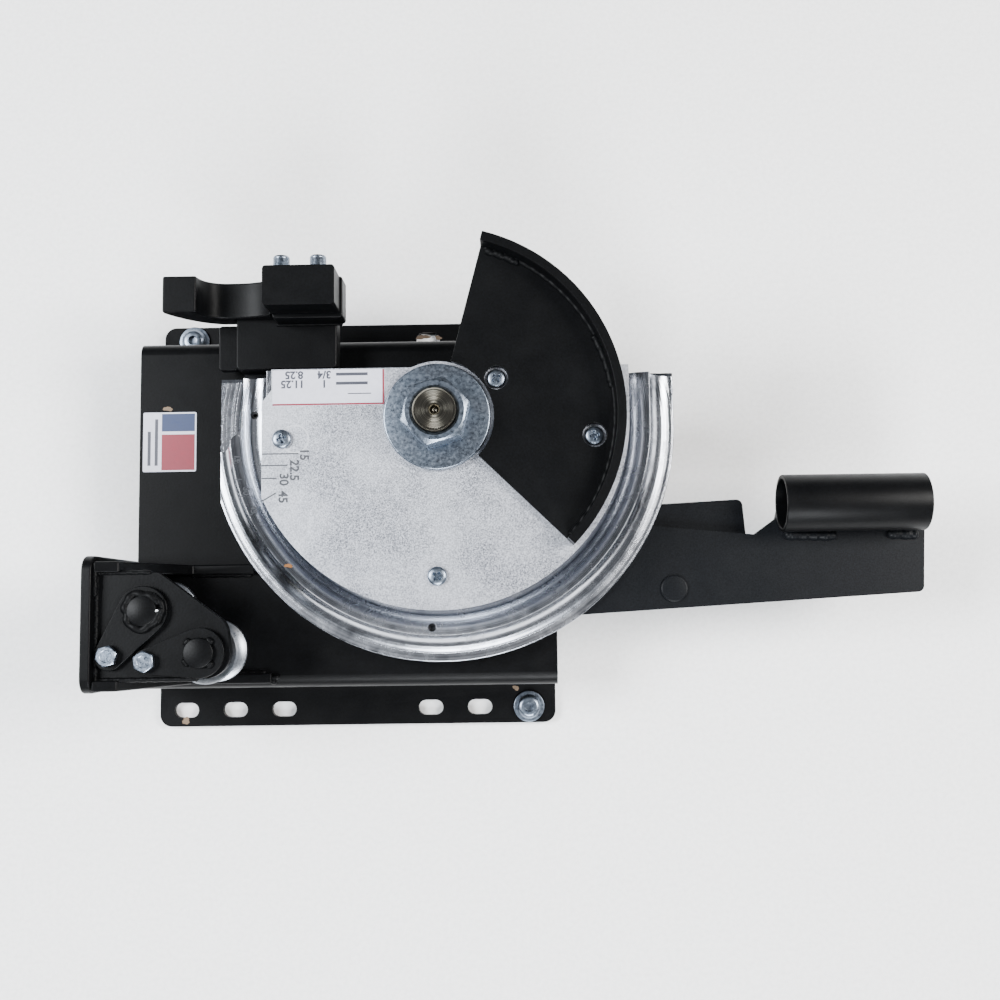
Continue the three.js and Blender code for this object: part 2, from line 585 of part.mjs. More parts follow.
addPart('bending_die', bendingDie(), ALUMINIUM);

function scalePlate() {
  const crown = 34;
  const crownX = 16;
  const crownAngle = THREE.MathUtils.radToDeg(Math.asin(UPPER_REAR / crown));
  const leftAngle = 180 + THREE.MathUtils.radToDeg(Math.acos(-PLATE_LEFT / SMALL_BEND));
  const outline = polygon([
    [SMALL_BEND, UPPER_REAR], [crownX, UPPER_REAR],
    ...arcPoints(0, 0, crown, crownAngle, 180 - crownAngle, 6),
    [-crownX, UPPER_REAR], [PLATE_NOTCH, UPPER_REAR], [PLATE_NOTCH, 18], [PLATE_LEFT, 10.5],
    ...arcPoints(0, 0, SMALL_BEND, leftAngle, 360, 44),
  ]);
  const screws = PLATE_SCREWS.map(([x, y]) => (
    disc(SCREW_SHANK + GAP, PLATE_Z - 1, PLATE_TOP + 1, x, y, 12)));
  return cut(slab(outline, PLATE_Z, PLATE_TOP), ...screws, bushHole(PLATE_Z, PLATE_TOP));
}

addPart('scale_plate', scalePlate(), ALUMINIUM);

PLATE_SCREWS.forEach(([x, y], i) => {
  const seat = PLATE_TOP + GAP;
  const screw = addPart(`plate_screw_${i + 1}`, turned([
    [0, LEVER_Z], [SCREW_SHANK, LEVER_Z], [SCREW_SHANK, seat], [SCREW_HEAD, seat], [SCREW_HEAD, seat + 1.4],
    [SCREW_HEAD - 1.2, seat + SCREW_HEAD_HEIGHT], [0, seat + SCREW_HEAD_HEIGHT],
  ], 14), ZINC);
  screw.position.set(x, y, 0);
});

// thin printed labels, one on the scale plate and one on the deck
const LABEL_THICKNESS = 0.3;
const LABEL_GAP = 0.05;

function label(name, [x0, x1], [y0, y1], z) {
  const bottom = z + LABEL_GAP;
  addPart(name, roundedBox([x0, x1], [y0, y1], [bottom, bottom + LABEL_THICKNESS], 1), LABEL);
}

label('scale_label', [PLATE_NOTCH + 0.6, -31.2], [8.2, UPPER_REAR - 0.6], PLATE_TOP);
label('deck_label', [BASE_LEFT + 2.2, BASE_LEFT + 36.4], [-23.8, 14.6], DECK_TOP);

// ---------------------------------------------------------------- sector guard

function sectorGuard() {
  const sector = (inner, outer) => polygon([
    ...arcPoints(0, 0, outer, GUARD_FROM, GUARD_TO, 36),
    ...arcPoints(0, 0, inner, GUARD_TO, GUARD_FROM, 36),
  ]);
  const floor = PLATE_TOP + GAP;
  const floorTop = floor + GUARD_THICKNESS;
  const plate = slab(sector(GUARD_INNER, GUARD_RADIUS), floor, floorTop);
  const rim = slab(sector(GUARD_RADIUS - RIM_THICKNESS, GUARD_RADIUS), floor, floor + RIM_HEIGHT);
  const holes = PLATE_SCREWS.slice(2).map(([x, y]) => disc(GUARD_HOLE, floor - 1, floorTop + 1, x, y, 20));
  return cut(join(plate, rim), ...holes);
}

addPart('sector_guard', sectorGuard(), BLACK_PAINT);

// ---------------------------------------------------------------- hook

const grooveBlockRight = HOOK_LEFT - GAP;
addPart('hook_base', roundedBox(
  [HOOK_LEFT, HOOK_RIGHT], [HOOK_FRONT, HOOK_REAR - 2], [DIE_Z, HOOK_BASE_TOP], 3), BLACK_PAINT);
addPart('hook_groove_block', roundedBox(
  [grooveBlockRight - GROOVE_BLOCK_LENGTH, grooveBlockRight], [HOOK_FRONT + 1.4, GROOVE_BLOCK_REAR],
  [DIE_Z, LARGE_FLOOR + 2.5], 2), BLACK_PAINT);

const hookSplit = HOOK_BASE_TOP + HOOK_LOWER_HEIGHT;
addPart('hook_lower_block', roundedBox(
  [HOOK_BLOCK_LEFT + 1.4, HOOK_BLOCK_RIGHT + 1.6], [HOOK_BLOCK_FRONT - 2.4, HOOK_REAR],
  [HOOK_BASE_TOP + GAP, hookSplit], 2), BLACK_PAINT);

const hookBlockRear = HOOK_REAR + 0.6;
const hookScrewX = [HOOK_BLOCK_LEFT + 9.5, HOOK_BLOCK_RIGHT - 11.4];
const hookScrewZ = (hookSplit + HOOK_TOP) / 2;

function hookUpperBlock() {
  const blank = roundedBox(
    [HOOK_BLOCK_LEFT, HOOK_BLOCK_RIGHT], [HOOK_BLOCK_FRONT, hookBlockRear], [hookSplit + GAP, HOOK_TOP], 2);
  const bore = disc(HOOK_SCREW_RADIUS + GAP, 0, HOOK_SCREW_DEPTH + 2, 0, 0, 16).rotateX(Math.PI / 2);
  return cut(blank, ...hookScrewX.map((x) => bore.clone().translate(x, hookBlockRear + 1, hookScrewZ)));
}

addPart('hook_upper_block', hookUpperBlock(), BLACK_PAINT);

hookScrewX.forEach((x, i) => {
  const socketRadius = HOOK_SCREW_HEAD / 2;
  const screw = addPart(`hook_screw_${i + 1}`, turned([
    [0, -HOOK_SCREW_DEPTH], [HOOK_SCREW_RADIUS, -HOOK_SCREW_DEPTH], [HOOK_SCREW_RADIUS, 0],
    [HOOK_SCREW_HEAD, 0], [HOOK_SCREW_HEAD, 7.4], [HOOK_SCREW_HEAD - 0.6, 8.2], [socketRadius, 8.2],
    [socketRadius, 4.4], [0, 4.4],
  ], 14), ZINC);
  screw.rotation.x = -Math.PI / 2;
  screw.position.set(x, hookBlockRear + GAP, hookScrewZ);
});

// a claw in X and Z: underside up to the tooth's tip, tooth, cradle seat, and back to the block
function hookSaddle() {
  const right = HOOK_BLOCK_LEFT - GAP;
  const under = LARGE_FLOOR - 1;
  const across = (x) => SADDLE_TIP + x;
  const shape = new THREE.Shape();
  shape.moveTo(right, under);
  shape.lineTo(across(31), under);
  shape.bezierCurveTo(across(17), under + 2, across(5), SADDLE_SEAT + 2, SADDLE_TIP, SADDLE_TOOTH_TOP - 4);
  shape.lineTo(SADDLE_TIP, SADDLE_TOOTH_TOP);
  shape.lineTo(across(20.6), SADDLE_TOOTH_TOP);
  shape.bezierCurveTo(across(21), SADDLE_SEAT + 6, across(27), SADDLE_SEAT, across(37), SADDLE_SEAT);
  shape.bezierCurveTo(across(49), SADDLE_SEAT, across(57), SADDLE_SEAT + 2, right, SADDLE_SEAT + 8);
  shape.closePath();
  return slabAlongY(shape, SADDLE_FRONT, HOOK_REAR, 10);
}

// the saddle stands over the lowered base block, so its underside is relieved there
const saddleRelief = roundedBox([HOOK_LEFT - GAP, HOOK_RIGHT + 14], [0, 200], [0, HOOK_BASE_TOP + GAP], 0);
addPart('hook_saddle', cut(hookSaddle(), saddleRelief), BLACK_PAINT);

// ---------------------------------------------------------------- roller carrier

const behindEndPlate = CARRIER_LEFT + CARRIER_PLATE + GAP;
const rearGussetY = CARRIER_REAR - GUSSET_INSET;
const frontGussetY = CARRIER_FRONT + FRONT_GUSSET_INSET;

function carrierEnd() {
  const bottom = DECK_TOP - CARRIER_DEPTH;
  const shape = roundedPolygon([
    [CARRIER_FRONT, bottom, 6], [CARRIER_REAR, bottom, 6],
    [CARRIER_REAR, CARRIER_TOP, 9], [CARRIER_FRONT, CARRIER_TOP, 9],
  ]);
  const settings = { depth: CARRIER_PLATE, bevelEnabled: false, curveSegments: 5 };
  return new THREE.ExtrudeGeometry(shape, settings)
    .rotateX(Math.PI / 2).rotateZ(Math.PI / 2).translate(CARRIER_LEFT, 0, 0);
}

addPart('carrier_end_plate', carrierEnd(), BLACK_PAINT);

// a low bar along the deck that sweeps up to the end plate's top
function carrierGusset(outerY, side, barLength) {
  const low = DECK_TOP + GAP;
  const barTop = low + GUSSET_LOW;
  const across = (x) => behindEndPlate + x;
  const shape = new THREE.Shape();
  shape.moveTo(behindEndPlate, low);
  shape.lineTo(across(barLength), low);
  shape.lineTo(across(barLength), barTop);
  shape.lineTo(across(40.35), barTop);
  shape.bezierCurveTo(across(32.35), low + 20, across(22.35), CARRIER_TOP - 23, across(14), CARRIER_TOP - 4);
  shape.lineTo(behindEndPlate, CARRIER_TOP - 2);
  shape.closePath();
  const innerY = outerY - side * CARRIER_PLATE;
  return slabAlongY(shape, Math.min(outerY, innerY), Math.max(outerY, innerY), 10);
}

addPart('carrier_rear_gusset', carrierGusset(rearGussetY, 1, REAR_BAR_LENGTH), BLACK_PAINT);
addPart('carrier_front_gusset', carrierGusset(frontGussetY, -1, FRONT_BAR_LENGTH), BLACK_PAINT);

// a round hole with clearance through a plate that reaches from z0 to z1
function clearHole(radius, [x, y], z0, z1, segments) {
  return disc(radius + GAP, z0 - 1, z1 + 1, x, y, segments);
}

function carrierTopPlate() {
  const rear = rearGussetY - CARRIER_PLATE - GAP;
  const front = frontGussetY + CARRIER_PLATE + GAP;
  const under = TOP_PLATE_Z - CARRIER_PLATE;
  const [smallX, smallY] = SMALL_PIN;
  const outline = roundedPolygon([
    [behindEndPlate, front], [smallX + 5.2, front, 3], [smallX + 18.5, smallY - 10, 14],
    [smallX + 15, smallY + 17, 12], [LARGE_PIN[0] + 8.1, rear, 2], [behindEndPlate, rear],
  ]);
  const pins = [LARGE_PIN, SMALL_PIN].map((place) => clearHole(PIN_RADIUS, place, under, TOP_PLATE_Z, 20));
  const bolts = KEEPER_BOLTS.map((place) => clearHole(KEEPER_BOLT_RADIUS, place, under, TOP_PLATE_Z, 16));
  return cut(slab(outline, under, TOP_PLATE_Z, 6), ...pins, ...bolts);
}

addPart('carrier_top_plate', carrierTopPlate(), BLACK_PAINT);

const keeperZ = TOP_PLATE_Z + GAP;
const keeperTop = keeperZ + KEEPER_THICKNESS;
const pinTop = keeperTop + GAP;

// the second keeper is narrower at its bolt and gives way to the first
[LARGE_PIN, SMALL_PIN].forEach((pin, i) => {
  const bolt = KEEPER_BOLTS[i];
  const keeper = slab(teardrop(pin, KEEPER_END, bolt, KEEPER_TAIL - i * 1.5), keeperZ, keeperTop, 9);
  const otherBolt = clearHole(KEEPER_BOLT_FLATS / 2 + 1.55, KEEPER_BOLTS[1 - i], keeperZ, keeperTop, 20);
  const firstOutline = teardrop(LARGE_PIN, KEEPER_END + GAP, KEEPER_BOLTS[0], KEEPER_TAIL + GAP);
  const otherKeeper = slab(firstOutline, keeperZ - 1, keeperTop + 1, 9);
  addPart(`pin_keeper_${i + 1}`, cut(keeper,
    clearHole(PIN_RADIUS, pin, keeperZ, keeperTop, 20),
    clearHole(KEEPER_BOLT_RADIUS, bolt, keeperZ, keeperTop, 16),
    i === 1 ? otherKeeper : otherBolt), BLACK_PAINT);
});

KEEPER_BOLTS.forEach(([x, y], i) => {
  const bolt = addPart(`keeper_bolt_${i + 1}`, join(
    hexPrism(KEEPER_BOLT_FLATS, pinTop, pinTop + KEEPER_BOLT_HEAD).rotateZ(degrees(15 + 20 * i)),
    disc(KEEPER_BOLT_RADIUS, TOP_PLATE_Z - CARRIER_PLATE - 3, pinTop + 1, 0, 0, 12)), ZINC);
  bolt.position.set(x, y, 0);
});

// a grooved roller with its bush, the spacer under it and its pin
function rollerSet(name, [x, y], rim, height, tubeRadius, tubeCentre, tubePlane) {
  const z0 = tubeCentre - height / 2;
  const z1 = tubeCentre + height / 2;
  const reach = tubePlane - x;
  const groove = tubeRadius + TUBE_PLAY;
  const open = THREE.MathUtils.radToDeg(Math.asin((reach - rim) / groove));
  const arc = arcPoints(reach, tubeCentre, groove, 270 - open, 90 + open, 8);
  const profile = [
    [ROLLER_BORE, z0], [rim - 1, z0], [rim, z0 + 1],
    ...arc,
    [rim, z1 - 1], [rim - 1, z1], [ROLLER_BORE, z1],
  ];
  const inner = PIN_RADIUS + GAP;
  const pinFoot = DECK_UNDER + 1;
  const pieces = {
    [`${name}_roller`]: [turned(profile, 28), BRIGHT_STEEL],
    [`${name}_roller_bush`]: [ring(inner, BUSH_OUTER, z0, z1, 20), BRONZE],
    [`${name}_roller_spacer`]: [
      ring(inner, inner + SPACER_WALL, DECK_TOP + GAP, z0 - GAP, 20), BRIGHT_STEEL],
    [`${name}_roller_pin`]: [turned([
      [0, pinFoot], [PIN_RADIUS, pinFoot], [PIN_RADIUS, pinTop], [PIN_HEAD, pinTop],
      [PIN_HEAD, pinTop + 1.6], [PIN_HEAD - 0.8, pinTop + 2.4], [0, pinTop + 2.4]], 20), BLACK_PAINT],
  };
  for (const [part, [geometry, finish]] of Object.entries(pieces)) {
    addPart(part, geometry, finish).position.set(x, y, 0);
  }
}

rollerSet('large', LARGE_PIN, LARGE_ROLLER, LARGE_ROLLER_HEIGHT, LARGE_TUBE, LARGE_CENTRE, -LARGE_BEND);
rollerSet('small', SMALL_PIN, SMALL_ROLLER, SMALL_ROLLER_HEIGHT, SMALL_TUBE, SMALL_CENTRE, -SMALL_BEND);

// ---------------------------------------------------------------- origin

// the part's own origin is the middle of its footprint, on the bench

model.updateMatrixWorld(true);
const box = new THREE.Box3().setFromObject(model, true);
bench.position.set(-(box.min.x + box.max.x) / 2, -(box.min.y + box.max.y) / 2, -box.min.z);
model.updateMatrixWorld(true);

export default model;
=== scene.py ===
"""Looks for a bench-top manual tube bender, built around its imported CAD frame.

Lengths are millimetres in the working frame: origin on the pivot stud's axis, at the bench, +Z up.
place() turns them into the part's own frame in metres.
"""

import json
import math

import bmesh
import bpy
import numpy as np
from mathutils import Matrix, Vector


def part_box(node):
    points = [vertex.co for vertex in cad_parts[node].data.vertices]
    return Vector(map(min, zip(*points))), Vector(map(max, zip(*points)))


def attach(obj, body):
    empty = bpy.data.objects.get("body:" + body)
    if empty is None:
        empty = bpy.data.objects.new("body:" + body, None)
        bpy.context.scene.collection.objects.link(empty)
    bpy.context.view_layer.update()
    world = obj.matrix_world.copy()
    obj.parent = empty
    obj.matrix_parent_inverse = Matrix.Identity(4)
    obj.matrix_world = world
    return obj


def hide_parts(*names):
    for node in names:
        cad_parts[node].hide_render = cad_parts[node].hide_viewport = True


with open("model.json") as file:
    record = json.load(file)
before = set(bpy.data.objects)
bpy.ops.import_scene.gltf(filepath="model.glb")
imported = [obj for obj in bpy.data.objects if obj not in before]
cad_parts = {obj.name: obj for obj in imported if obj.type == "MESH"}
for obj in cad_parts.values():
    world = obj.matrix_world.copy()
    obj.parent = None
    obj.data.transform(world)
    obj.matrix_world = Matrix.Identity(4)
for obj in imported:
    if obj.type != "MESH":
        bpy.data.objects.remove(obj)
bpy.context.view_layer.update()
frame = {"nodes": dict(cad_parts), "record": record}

# ------------------------------------------------------------------ the frame: bodies, slots, levels

RECORD = frame["record"]
BODY_OF = {
    node: body
    for body, nodes in RECORD["behaviour"]["bodies"].items()
    for node in nodes
}
SLOT_OF = {row["node"]: row["material_slot"] for row in RECORD["subparts"]}
STUD_LOW, STUD_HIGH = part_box("pivot_stud")
PIVOT = np.array([(STUD_LOW[0] + STUD_HIGH[0]) / 2, (STUD_LOW[1] + STUD_HIGH[1]) / 2, 0.0])
MM = 0.001


def place(points):
    """Millimetres from the pivot's axis to metres in the part's frame."""
    return np.asarray(points, float) * MM + PIVOT


def level(node, end):
    """Height in millimetres of a node's underside (end 0) or top (end 1)."""
    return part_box(node)[end][2] / MM


def middle(node):
    """Centre of a node in plan, in millimetres from the pivot."""
    low, high = (np.array(corner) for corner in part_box(node))
    return tuple((((low + high) / 2 - PIVOT) / MM)[:2])


DECK = level("base_channel", 1)
LEVER_TOP = level("lever_plate", 1)
PLATE_TOP = level("scale_plate", 1)
DIE_LOW = level("bending_die", 0)
DIE_TOP = level("bending_die", 1)
KEEPER_TOP = level("pin_keeper_1", 1)

# sizes of the turned and swept pieces
STUD_RADIUS = 12.7
CLEARANCE = 0.3
LARGE_BEND = 146.0
LARGE_TUBE = 14.75
SMALL_BEND = 114.3
SMALL_TUBE = 11.7
LIP_THICKNESS = 4.5
SMALL_FLOOR_DROP = 2.75
DIE_REAR = 32.5
UPPER_REAR = 30.4
DIE_LEFT = -138.4
TAPPED = ((-114.6, 7.5), (-5.7, -124.6))
TAPPED_LOW = 74.0
TAPPED_RADIUS = 2.5
LEDGE_RISE = 1.25
LEDGE = DIE_LOW + LIP_THICKNESS + LARGE_TUBE + LEDGE_RISE
STUD_FLANGE = 9.0
GUARD_PLATE = 4.8
BOLT_HEAD = 4.4
PAN_HEAD = 2.9
CAP_HEAD = 8.2
PIN_HEAD = 2.4
INK_DEPTH = 0.03
LEDGE_LEFT = -121.3
GUARD_RADIUS = 111.0
GUARD_RIM = 5.5
PIN_RADIUS = 5.5
LARGE_PIN = middle("large_roller")
SMALL_PIN = middle("small_roller")

# ------------------------------------------------------------------ camera, light and floor

CAMERA_PLACE = (42.93, -115.195, 801.15)
CAMERA_RIGHT = (0.9998544, -0.0135985, -0.0103118)
CAMERA_DOWN = (-0.0145072, -0.9954777, -0.0938815)
CAMERA_AHEAD = (-0.0089886, 0.0940175, -0.9955300)
CAMERA_LENS = 42.336
SENSOR = 36.0


def make_camera():
    data = bpy.data.cameras.new("camera")
    data.lens = CAMERA_LENS
    data.sensor_width = SENSOR
    data.clip_start = 0.05
    data.clip_end = 50
    camera = bpy.data.objects.new("camera", data)
    bpy.context.collection.objects.link(camera)
    turn = np.array([CAMERA_RIGHT, np.negative(CAMERA_DOWN), np.negative(CAMERA_AHEAD)]).T
    matrix = Matrix(turn.tolist()).to_4x4()
    matrix.translation = place(CAMERA_PLACE).tolist()
    camera.matrix_world = matrix
    bpy.context.scene.camera = camera


def soft_light(name, spot, aim, size, power, tint):
    """A square area light at spot, turned to face aim."""
    data = bpy.data.lights.new(name, "AREA")
    data.shape = "SQUARE"
    data.size = size
    data.energy = power
    data.color = tint
    lamp = bpy.data.objects.new(name, data)
    bpy.context.collection.objects.link(lamp)
    towards = Vector(aim) - Vector(spot)
    lamp.rotation_euler = towards.to_track_quat("-Z", "Y").to_euler()
    lamp.location = spot


def make_light():
    world = bpy.data.worlds.new("studio")
    bpy.context.scene.world = world
    world.use_nodes = True
    sky = world.node_tree.nodes["Background"]
    sky.inputs["Color"].default_value = (0.93, 0.95, 1.0, 1.0)
    sky.inputs["Strength"].default_value = 0.2
    cool = (0.94, 0.97, 1.0)
    warm = (1.0, 0.98, 0.95)
    middle_of_it = (0, 0, 0.05)
    soft_light("high_left", (-1.55, 0.25, 1.6), middle_of_it, 0.9, 98, cool)
    soft_light("high_right", (1.55, 0.3, 1.6), middle_of_it, 0.9, 90, warm)
    soft_light("high_front", (0.1, -1.75, 1.5), middle_of_it, 0.9, 80, cool)


# ------------------------------------------------------------------ materials

def linear(text):
    """An sRGB hex colour as the linear values a shader takes."""
    values = np.array([int(text[i:i + 2], 16) for i in (1, 3, 5)]) / 255
    low = values / 12.92
    high = ((values + 0.055) / 1.055) ** 2.4
    return (*np.where(values <= 0.04045, low, high).tolist(), 1.0)


def add(tree, kind, inputs=(), out=0, **settings):
    """Adds a node and gives one of its outputs; each input is a value or the output that feeds it."""
    node = tree.nodes.new(kind)
    for name, value in settings.items():
        setattr(node, name, value)
    for key, value in dict(inputs).items():
        if isinstance(value, bpy.types.NodeSocket):
            tree.links.new(value, node.inputs[key])
        else:
            node.inputs[key].default_value = value
    return node.outputs[out]


def per(size):
    """Texture scale, per metre, of a pattern whose real size is in millimetres."""
    return 1 / (size * MM)


def start(name, metallic):
    """A material with its shader, its tree and the object coordinates in metres."""
    material = bpy.data.materials.new(name)
    material.use_nodes = True
    tree = material.node_tree
    shader = tree.nodes["Principled BSDF"]
    shader.inputs["Metallic"].default_value = metallic
    return material, tree, shader, add(tree, "ShaderNodeTexCoord", out="Object")


def join(tree, shader, **sockets):
    """Links outputs to the shader's sockets, named as the shader names them."""
    for name, value in sockets.items():
        tree.links.new(value, shader.inputs[name.replace("_", " ")])


# input numbers of Blender's Map Range and colour Mix nodes, whose names repeat or run long
FROM_LOW, FROM_HIGH, TO_LOW, TO_HIGH = 1, 2, 3, 4
FIRST_COLOUR, SECOND_COLOUR, MIXED_COLOUR = 6, 7, 2
FIRST_VALUE, SECOND_VALUE = 2, 3


def round_the_pivot(tree, spot):
    """Radius from the pivot's axis, the coordinates from it and the direction round it."""
    centred = add(tree, "ShaderNodeVectorMath", {0: spot, 1: tuple(PIVOT)}, operation="SUBTRACT")
    parts = add(tree, "ShaderNodeSeparateXYZ", {"Vector": centred}).node.outputs
    flat = add(tree, "ShaderNodeCombineXYZ", {"X": parts["X"], "Y": parts["Y"]})
    radius = add(tree, "ShaderNodeVectorMath", {0: flat}, "Value", operation="LENGTH")
    across = add(tree, "ShaderNodeVectorMath", {0: (0, 0, 1), 1: flat}, operation="CROSS_PRODUCT")
    around_it = add(tree, "ShaderNodeVectorTransform", {"Vector": across},
                    vector_type="VECTOR", convert_from="OBJECT", convert_to="WORLD")
    return radius, parts, around_it


def powder_coat(name, colour, light, roughness):
    """Black polyester powder on steel: a satin skin with orange peel about 1 mm across, a fine
    grain of paler specks, and a gloss that drifts where the powder lay thicker."""
    material, tree, shader, spot = start(name, 0.0)
    shader.inputs["Specular IOR Level"].default_value = 0.1
    cloud = add(tree, "ShaderNodeTexNoise", {"Vector": spot, "Scale": per(14), "Detail": 3})
    grain = add(tree, "ShaderNodeTexNoise", {"Vector": spot, "Scale": per(0.9), "Roughness": 0.7})
    speck = add(tree, "ShaderNodeTexNoise",
                {"Vector": spot, "Scale": per(1.6), "Detail": 4, "Roughness": 0.8})
    share = add(tree, "ShaderNodeMapRange", {0: grain, FROM_LOW: 0.3, FROM_HIGH: 0.7})
    skin = add(tree, "ShaderNodeMix", {0: share, FIRST_COLOUR: linear(colour), SECOND_COLOUR: linear(light)},
               MIXED_COLOUR, data_type="RGBA")
    dust = add(tree, "ShaderNodeMapRange", {0: speck, FROM_LOW: 0.72, FROM_HIGH: 0.82, TO_HIGH: 0.2})
    dusty = add(tree, "ShaderNodeMix", {0: dust, FIRST_COLOUR: skin, SECOND_COLOUR: linear("#4a4e55")},
                MIXED_COLOUR, data_type="RGBA")
    gloss = add(tree, "ShaderNodeMapRange", {0: cloud, FROM_LOW: 0.3, FROM_HIGH: 0.7,
                                             TO_LOW: roughness - 0.03, TO_HIGH: roughness + 0.04})
    peel = add(tree, "ShaderNodeTexNoise", {"Vector": spot, "Scale": per(1.1), "Detail": 1})
    bump = add(tree, "ShaderNodeBump", {"Height": peel, "Strength": 0.22, "Distance": 0.0002})
    join(tree, shader, Base_Color=dusty, Roughness=gloss, Normal=bump)
    return material


def turned_aluminium(name):
    """A cast aluminium blank faced and grooved on a lathe: bright, with tool marks that run
    round the pivot about 0.4 mm apart, broad rings where the feed changed, grey smears, and level
    saw lines on the flat face at the rear."""
    material, tree, shader, spot = start(name, 1.0)
    shader.inputs["Anisotropic"].default_value = 0.6
    radius, parts, around_it = round_the_pivot(tree, spot)
    along = add(tree, "ShaderNodeMath", {0: parts["Z"], 1: 0.8, 2: radius}, operation="MULTIPLY_ADD")
    fine = add(tree, "ShaderNodeTexNoise", {"W": along, "Scale": per(0.8)}, noise_dimensions="1D")
    broad = add(tree, "ShaderNodeTexNoise", {"W": along, "Scale": per(5)}, noise_dimensions="1D")
    smear = add(tree, "ShaderNodeTexNoise",
                {"Vector": spot, "Scale": per(11), "Detail": 4, "Roughness": 0.6})
    rings = add(tree, "ShaderNodeMath", {0: fine, 1: 0.5, 2: broad}, operation="MULTIPLY_ADD")
    at_rear = add(tree, "ShaderNodeMath", {0: parts["Y"], 1: (UPPER_REAR - 0.1) * MM},
                  operation="GREATER_THAN")
    sawn = add(tree, "ShaderNodeTexNoise", {"W": parts["Z"], "Scale": per(1.5)}, noise_dimensions="1D")
    marks = add(tree, "ShaderNodeMix", {0: at_rear, FIRST_VALUE: rings, SECOND_VALUE: sawn},
                data_type="FLOAT")
    share = add(tree, "ShaderNodeMapRange", {0: marks, FROM_LOW: 0.5, FROM_HIGH: 0.95})
    bright = add(tree, "ShaderNodeMix",
                 {0: share, FIRST_COLOUR: linear("#74787f"), SECOND_COLOUR: linear("#c6c9d0")},
                 MIXED_COLOUR, data_type="RGBA")
    smeared = add(tree, "ShaderNodeMapRange", {0: smear, FROM_LOW: 0.52, FROM_HIGH: 0.75, TO_HIGH: 0.55})
    worn = add(tree, "ShaderNodeMix", {0: smeared, FIRST_COLOUR: bright, SECOND_COLOUR: linear("#62656d")},
               MIXED_COLOUR, data_type="RGBA")
    gloss = add(tree, "ShaderNodeMapRange",
                {0: smear, FROM_LOW: 0.3, FROM_HIGH: 0.7, TO_LOW: 0.16, TO_HIGH: 0.32})
    bump = add(tree, "ShaderNodeBump", {"Height": marks, "Strength": 0.5, "Distance": 0.0003})
    join(tree, shader, Base_Color=worn, Roughness=gloss, Tangent=around_it, Normal=bump)
    return material


def tumbled_aluminium(name):
    """Sheet aluminium tumbled dull: a sandy grain drawn 0.85 mm across so that it shows, with
    paler handling marks several centimetres wide."""
    material, tree, shader, spot = start(name, 0.9)
    grain = add(tree, "ShaderNodeTexNoise", {"Vector": spot, "Scale": per(0.85), "Roughness": 0.8})
    cloud = add(tree, "ShaderNodeTexNoise", {"Vector": spot, "Scale": per(30), "Detail": 3})
    share = add(tree, "ShaderNodeMapRange", {0: grain, FROM_LOW: 0.34, FROM_HIGH: 0.66})
    sand = add(tree, "ShaderNodeMix",
               {0: share, FIRST_COLOUR: linear("#6a6d75"), SECOND_COLOUR: linear("#c6c9d1")},
               MIXED_COLOUR, data_type="RGBA")
    handled = add(tree, "ShaderNodeMapRange", {0: cloud, FROM_LOW: 0.42, FROM_HIGH: 0.66, TO_HIGH: 0.45})
    rubbed = add(tree, "ShaderNodeMix", {0: handled, FIRST_COLOUR: sand, SECOND_COLOUR: linear("#d3d6dd")},
                 MIXED_COLOUR, data_type="RGBA")
    gloss = add(tree, "ShaderNodeMapRange",
                {0: grain, FROM_LOW: 0.3, FROM_HIGH: 0.7, TO_LOW: 0.4, TO_HIGH: 0.6})
    bump = add(tree, "ShaderNodeBump", {"Height": grain, "Strength": 0.55, "Distance": 0.0002})
    join(tree, shader, Base_Color=rubbed, Roughness=gloss, Normal=bump)
    return material


def zinc_plate(name, dark, bright, crystal):
    """Steel with bright zinc plate: blue-white, mottled in crystals 2 to 3 mm across that differ
    in brightness and gloss. A finer crystal gives ground steel with a thin clear plate."""
    material, tree, shader, spot = start(name, 1.0)
    crystals = add(tree, "ShaderNodeTexNoise",
                   {"Vector": spot, "Scale": per(crystal), "Detail": 5, "Roughness": 0.72})
    cloud = add(tree, "ShaderNodeTexNoise", {"Vector": spot, "Scale": per(12)})
    share = add(tree, "ShaderNodeMapRange", {0: crystals, FROM_LOW: 0.25, FROM_HIGH: 0.75})
    mottled = add(tree, "ShaderNodeMix",
                  {0: share, FIRST_COLOUR: linear(dark), SECOND_COLOUR: linear(bright)},
                  MIXED_COLOUR, data_type="RGBA")
    clouded = add(tree, "ShaderNodeMapRange", {0: cloud, FROM_LOW: 0.3, FROM_HIGH: 0.7, TO_HIGH: 0.4})
    colour = add(tree, "ShaderNodeMix",
                 {0: clouded, FIRST_COLOUR: mottled, SECOND_COLOUR: linear("#8494a6")},
                 MIXED_COLOUR, data_type="RGBA")
    gloss = add(tree, "ShaderNodeMapRange",
                {0: crystals, FROM_LOW: 0.3, FROM_HIGH: 0.7, TO_LOW: 0.24, TO_HIGH: 0.42})
    bump = add(tree, "ShaderNodeBump", {"Height": crystals, "Strength": 0.2, "Distance": 0.0001})
    join(tree, shader, Base_Color=colour, Roughness=gloss, Normal=bump)
    return material


